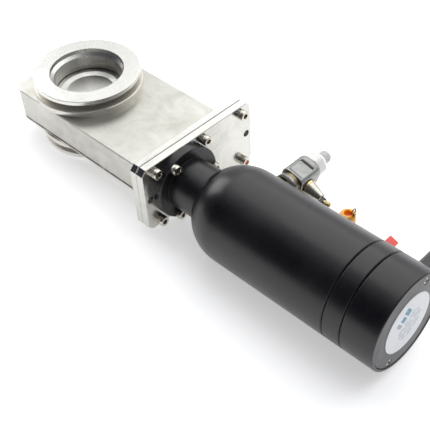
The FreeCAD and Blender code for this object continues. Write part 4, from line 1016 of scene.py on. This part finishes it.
@dataclass
class Drive:
    """What slides inside: shaft, piston, gate, carriage, rollers and springs."""

    shop: FinishShop

    def build(self) -> None:
        """Dress the inner pieces."""
        self.shop.dress(INNER_STEEL, "gate_plate", "counter_plate", "gate_carriage", "seal_spacer")
        middle = middle_of(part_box("gate_shaft"))
        shaft = Finish("ground_steel", (0.78, 0.77, 0.75), (0.66, 0.65, 0.62), 0.15, 1.0, 0.08, Marks.TURNED,
                       turn_axis=Axis.X, turn_centre=(0.0, middle.y, middle.z), mark_depth=0.000003)
        self.shop.dress(shaft, "gate_shaft", "roller_axles", "rollers_front", "rollers_rear", "leaf_springs")
        self.shop.dress(BARE_ALUMINIUM, "piston")
        self.shop.dress(BLACK_RUBBER, "piston_seal", "gate_seal", "shaft_seals")
        self.shop.dress(WHITE_PLASTIC, "piston_wear_ring")
        self.shop.dress(SCREW_STEEL, "piston_nut", "gate_screws")
        self.shop.dress(BRONZE, "shaft_bush")


@dataclass
class SpeedController:
    """The swivelling air fitting with its outlet, needle and knob."""

    shop: FinishShop
    ribs: int = 24
    rib_r: float = 0.32 * MM
    squareness: float = 3.6
    turn_deg: float = 14.0
    shoulder: float = 3.4 * MM
    shoulder_share: float = 0.42
    panel_depth: float = 0.8 * MM
    panel_corner: float = 1.6 * MM
    panel_edge: float = 0.2 * MM
    body_share: float = 0.965
    body_segments: int = 96
    bore: float = 4.9 * MM
    bore_share: float = 0.46
    edge: float = 0.5 * MM
    dome_steps: int = 8
    knob_dome_share: float = 0.34
    knob_segments: int = 72
    rib_start: float = 0.6 * MM
    rib_ends: float = 0.8 * MM

    def build(self) -> None:
        """Dress the fitting, and make its body and knob."""
        self.shop.dress(BRASS, "outlet_ring")
        self.shop.dress(AGED_BRASS, "controller_stud", "controller_brass_washer")
        self.shop.dress(BLACK_RUBBER, "controller_seal")
        self.shop.dress(DARK_STEEL, "controller_steel_washer")
        self.shop.dress(NICKEL, "needle_nut")
        self.shop.dress(INNER_STEEL, "needle")
        middle = middle_of(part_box("outlet_nut"))
        nut = replace(WORN_NICKEL, turn_centre=(0.0, middle.y, middle.z))
        self.shop.dress(nut, "outlet_nut")
        self.body()
        self.knob()

    def squared(self, half: float) -> Callable[[float], float]:
        """Return the radius rule of a rounded square, turned to where the outlet points."""
        power = self.squareness

        def radius(angle: float) -> float:
            """Return the radius at an angle."""
            turned = angle - math.radians(self.turn_deg)
            return half / (abs(math.cos(turned)) ** power + abs(math.sin(turned)) ** power) ** (1 / power)

        return radius

    def body(self) -> None:
        """Make the die-cast body: rounded square, domed end, with a sunk panel on top."""
        low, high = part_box("controller_body")
        middle = middle_of(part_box("controller_stud"))
        half = (middle.x - low.x) * self.body_share
        length = high.y - low.y
        rings = [Ring(self.bore_share * length, self.bore), Ring(0.0, self.bore),
                 Ring(0.0, self.squared(half - self.edge)), Ring(self.edge, self.squared(half))]
        for cosine, sine in quarter_arc(self.dome_steps):
            reach = half - self.shoulder * self.shoulder_share * (1 - cosine)
            rings.append(Ring(length - self.shoulder * (1 - sine), self.squared(reach)))
        rings.append(Ring(length, self.squared(half / 2)))
        origin = Vector((middle.x, low.y, middle.z))
        piece = turned_mesh("cast_controller", rings, Axis.Y, origin, self.body_segments)
        top = middle.z + half
        panel = rounded_slab(
            Vector((middle.x - half * 0.62, low.y + length * 0.13, top - self.panel_depth)),
            Vector((middle.x + half * 0.66, low.y + length * 0.68, top + 2 * MM)),
            self.panel_corner, self.panel_edge, "panel_cutter")
        turn = Matrix.Rotation(math.radians(self.turn_deg), 4, "Y")
        panel.data.transform(Matrix.Translation(middle) @ turn @ Matrix.Translation(-middle))
        carve(piece, panel)
        piece.data.materials.clear()
        piece.data.materials.append(self.shop.material(CAST_ZINC))
        placed(piece, "speed_controller", "die_cast_zinc", "controller_body")

    def knob(self) -> None:
        """Make the domed knob with its grip ribs."""
        low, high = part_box("adjusting_knob")
        middle = (low + high) / 2
        radius = (high.x - low.x) / 2 - self.rib_r / 2
        height = high.y - low.y
        dome = height * self.knob_dome_share
        rings = [Ring(0.0, radius - self.edge), Ring(self.edge, radius)]
        for cosine, sine in quarter_arc(self.dome_steps):
            rings.append(Ring(height - dome * (1 - sine), radius - dome * (1 - cosine)))
        origin = Vector((middle.x, low.y, middle.z))
        piece = turned_mesh("ribbed_knob", rings, Axis.Y, origin, self.knob_segments)
        length = height - dome - self.rib_ends
        centre = (middle.x, low.y + self.rib_start + length / 2, middle.z)
        run_tree(piece, rib_tree(), {"Centre": centre, "Circle": radius, "Count": self.ribs,
                                     "Rib": self.rib_r, "Length": length,
                                     "Finish": self.shop.material(KNOB_WHITE)})
        placed(piece, "adjusting_knob", "pale_knob", "adjusting_knob")


@dataclass
class SmallFittings:
    """The breather, the capped port, the red plug and the electrical inlet."""

    shop: FinishShop

    def build(self) -> None:
        """Dress the small fittings."""
        self.shop.dress(BLACK_PLASTIC, "breather_stub", "electrical_inlet")
        self.shop.dress(SINTERED, "breather_tip")
        self.shop.dress(BRONZE, "cap_stub", "pull_ring")
        self.shop.dress(BRASS, "inlet_pins")
        middle = middle_of(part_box("orange_cap"))
        self.shop.dress(replace(ORANGE_PLASTIC, turn_centre=tuple(middle)), "orange_cap")
        self.shop.dress(RED_PLASTIC, "red_plug")


@dataclass(frozen=True)
class Lamp:
    """One square soft light."""

    name: str
    place: tuple[float, float, float]
    size: float
    power: float


@dataclass
class Studio:
    """The pale floor, the soft lights and the camera."""

    aim: tuple[float, float, float] = (0.13, -0.01, 0.02)
    eye: tuple[float, float, float] = (0.4394, -0.2920, 0.4095)
    right: tuple[float, float, float] = (0.7316, 0.6813, -0.0233)
    forward: tuple[float, float, float] = (-0.4902, 0.5021, -0.7124)
    lens: float = 73.73
    shift: tuple[float, float] = (-0.0798, 0.0296)
    floor_size: float = 6.0
    floor_gap: float = 0.2 * MM
    floor_glow: float = 0.46
    lamps: tuple[Lamp, ...] = (Lamp("top", (0.0, 0.95, 1.5), 2.4, 19.0),
                               Lamp("side", (-1.3, 0.1, 0.8), 0.9, 8.0),
                               Lamp("front", (1.3, -0.9, 0.7), 0.8, 1.5))
    bright_from: tuple[float, float, float] = (-0.12, 0.62, 0.74)
    bright_range: tuple[float, float] = (0.25, 0.85)
    dim: Colour = (0.035, 0.035, 0.05)
    bright: Colour = (1.0, 1.01, 1.02)

    def build(self) -> None:
        """Make the floor, the lights, the world and the camera."""
        self.floor()
        for lamp in self.lamps:
            self.light(lamp)
        self.world()
        self.camera()

    def floor(self) -> None:
        """Make the floor, tilted as the valve leans on its port rim and its cylinder's shoulder."""
        rim_low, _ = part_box("lower_port_flange")
        barrel = frame["nodes"]["cylinder_barrel"]
        corners = [barrel.matrix_world @ vertex.co - rim_low for vertex in barrel.data.vertices]
        slope = min(corner.z / corner.x for corner in corners)
        mesh = bmesh.new()
        half = self.floor_size / 2
        mesh.faces.new([mesh.verts.new((x, y, rim_low.z + (x - rim_low.x) * slope - self.floor_gap))
                        for x, y in ((-half, -half), (half, -half), (half, half), (-half, half))])
        floor = linked("floor", mesh)
        material = bpy.data.materials.new("pale_floor")
        material.use_nodes = True
        graph = Graph(material.node_tree)
        shader = graph.add("ShaderNodeBsdfPrincipled", {
            "Base Color": (0.90, 0.90, 0.905, 1.0), "Roughness": 0.7, "Specular IOR Level": 0.2,
            "Emission Color": (1.0, 1.0, 1.0, 1.0), "Emission Strength": self.floor_glow})
        graph.add("ShaderNodeOutputMaterial", {"Surface": shader.outputs["BSDF"]})
        floor.data.materials.append(material)

    def light(self, lamp: Lamp) -> None:
        """Add a square soft light that faces the valve."""
        data = bpy.data.lights.new(lamp.name, "AREA")
        data.shape = "SQUARE"
        data.size = lamp.size
        data.energy = lamp.power
        light = in_scene(lamp.name, data)
        light.location = lamp.place
        light.rotation_euler = (Vector(self.aim) - Vector(lamp.place)).to_track_quat("-Z", "Y").to_euler()

    def world(self) -> None:
        """Light the room: bright overhead and behind the valve, dark on the other side."""
        world = bpy.data.worlds.new("studio")
        world.use_nodes = True
        graph = Graph(world.node_tree)
        ray = graph.add("ShaderNodeTexCoord").outputs["Generated"]
        facing = graph.measured("DOT_PRODUCT", ray, self.bright_from)
        glow = graph.mixed(graph.ramp(facing, *self.bright_range), self.dim, self.bright)
        shader = graph.add("ShaderNodeBackground", {"Color": glow, "Strength": 1.0})
        graph.add("ShaderNodeOutputWorld", {"Surface": shader.outputs[0]})
        bpy.context.scene.world = world
        bpy.context.scene.view_settings.view_transform = "Standard"

    def camera(self) -> None:
        """Place the camera."""
        data = bpy.data.cameras.new("camera")
        data.lens = self.lens
        data.shift_x, data.shift_y = self.shift
        data.clip_start = 0.01
        camera = in_scene("camera", data)
        back = -Vector(self.forward).normalized()
        right = (Vector(self.right) - back * Vector(self.right).dot(back)).normalized()
        turn = Matrix((right, back.cross(right), back)).transposed()
        camera.matrix_world = Matrix.Translation(self.eye) @ turn.to_4x4()
        bpy.context.scene.camera = camera


def clear_start() -> None:
    """Remove what the start-up file holds beside the frame."""
    for thing in list(bpy.data.objects):
        if "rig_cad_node" not in thing and not thing.name.startswith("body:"):
            bpy.data.objects.remove(thing)


def main() -> None:
    """Build every sub-assembly in order."""
    logging.basicConfig(level=logging.INFO, format="%(message)s")
    clear_start()
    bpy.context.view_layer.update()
    shop = FinishShop()
    screws = Screws(shop, scatter_tree())
    for part in (Ports(shop), ValveBody(shop), EndPlates(shop, screws), Actuator(shop, screws), Drive(shop),
                 SpeedController(shop), SmallFittings(shop), Studio()):
        part.build()
        log.info("finished %s", type(part).__name__)


if __name__ == "__main__":
    main()
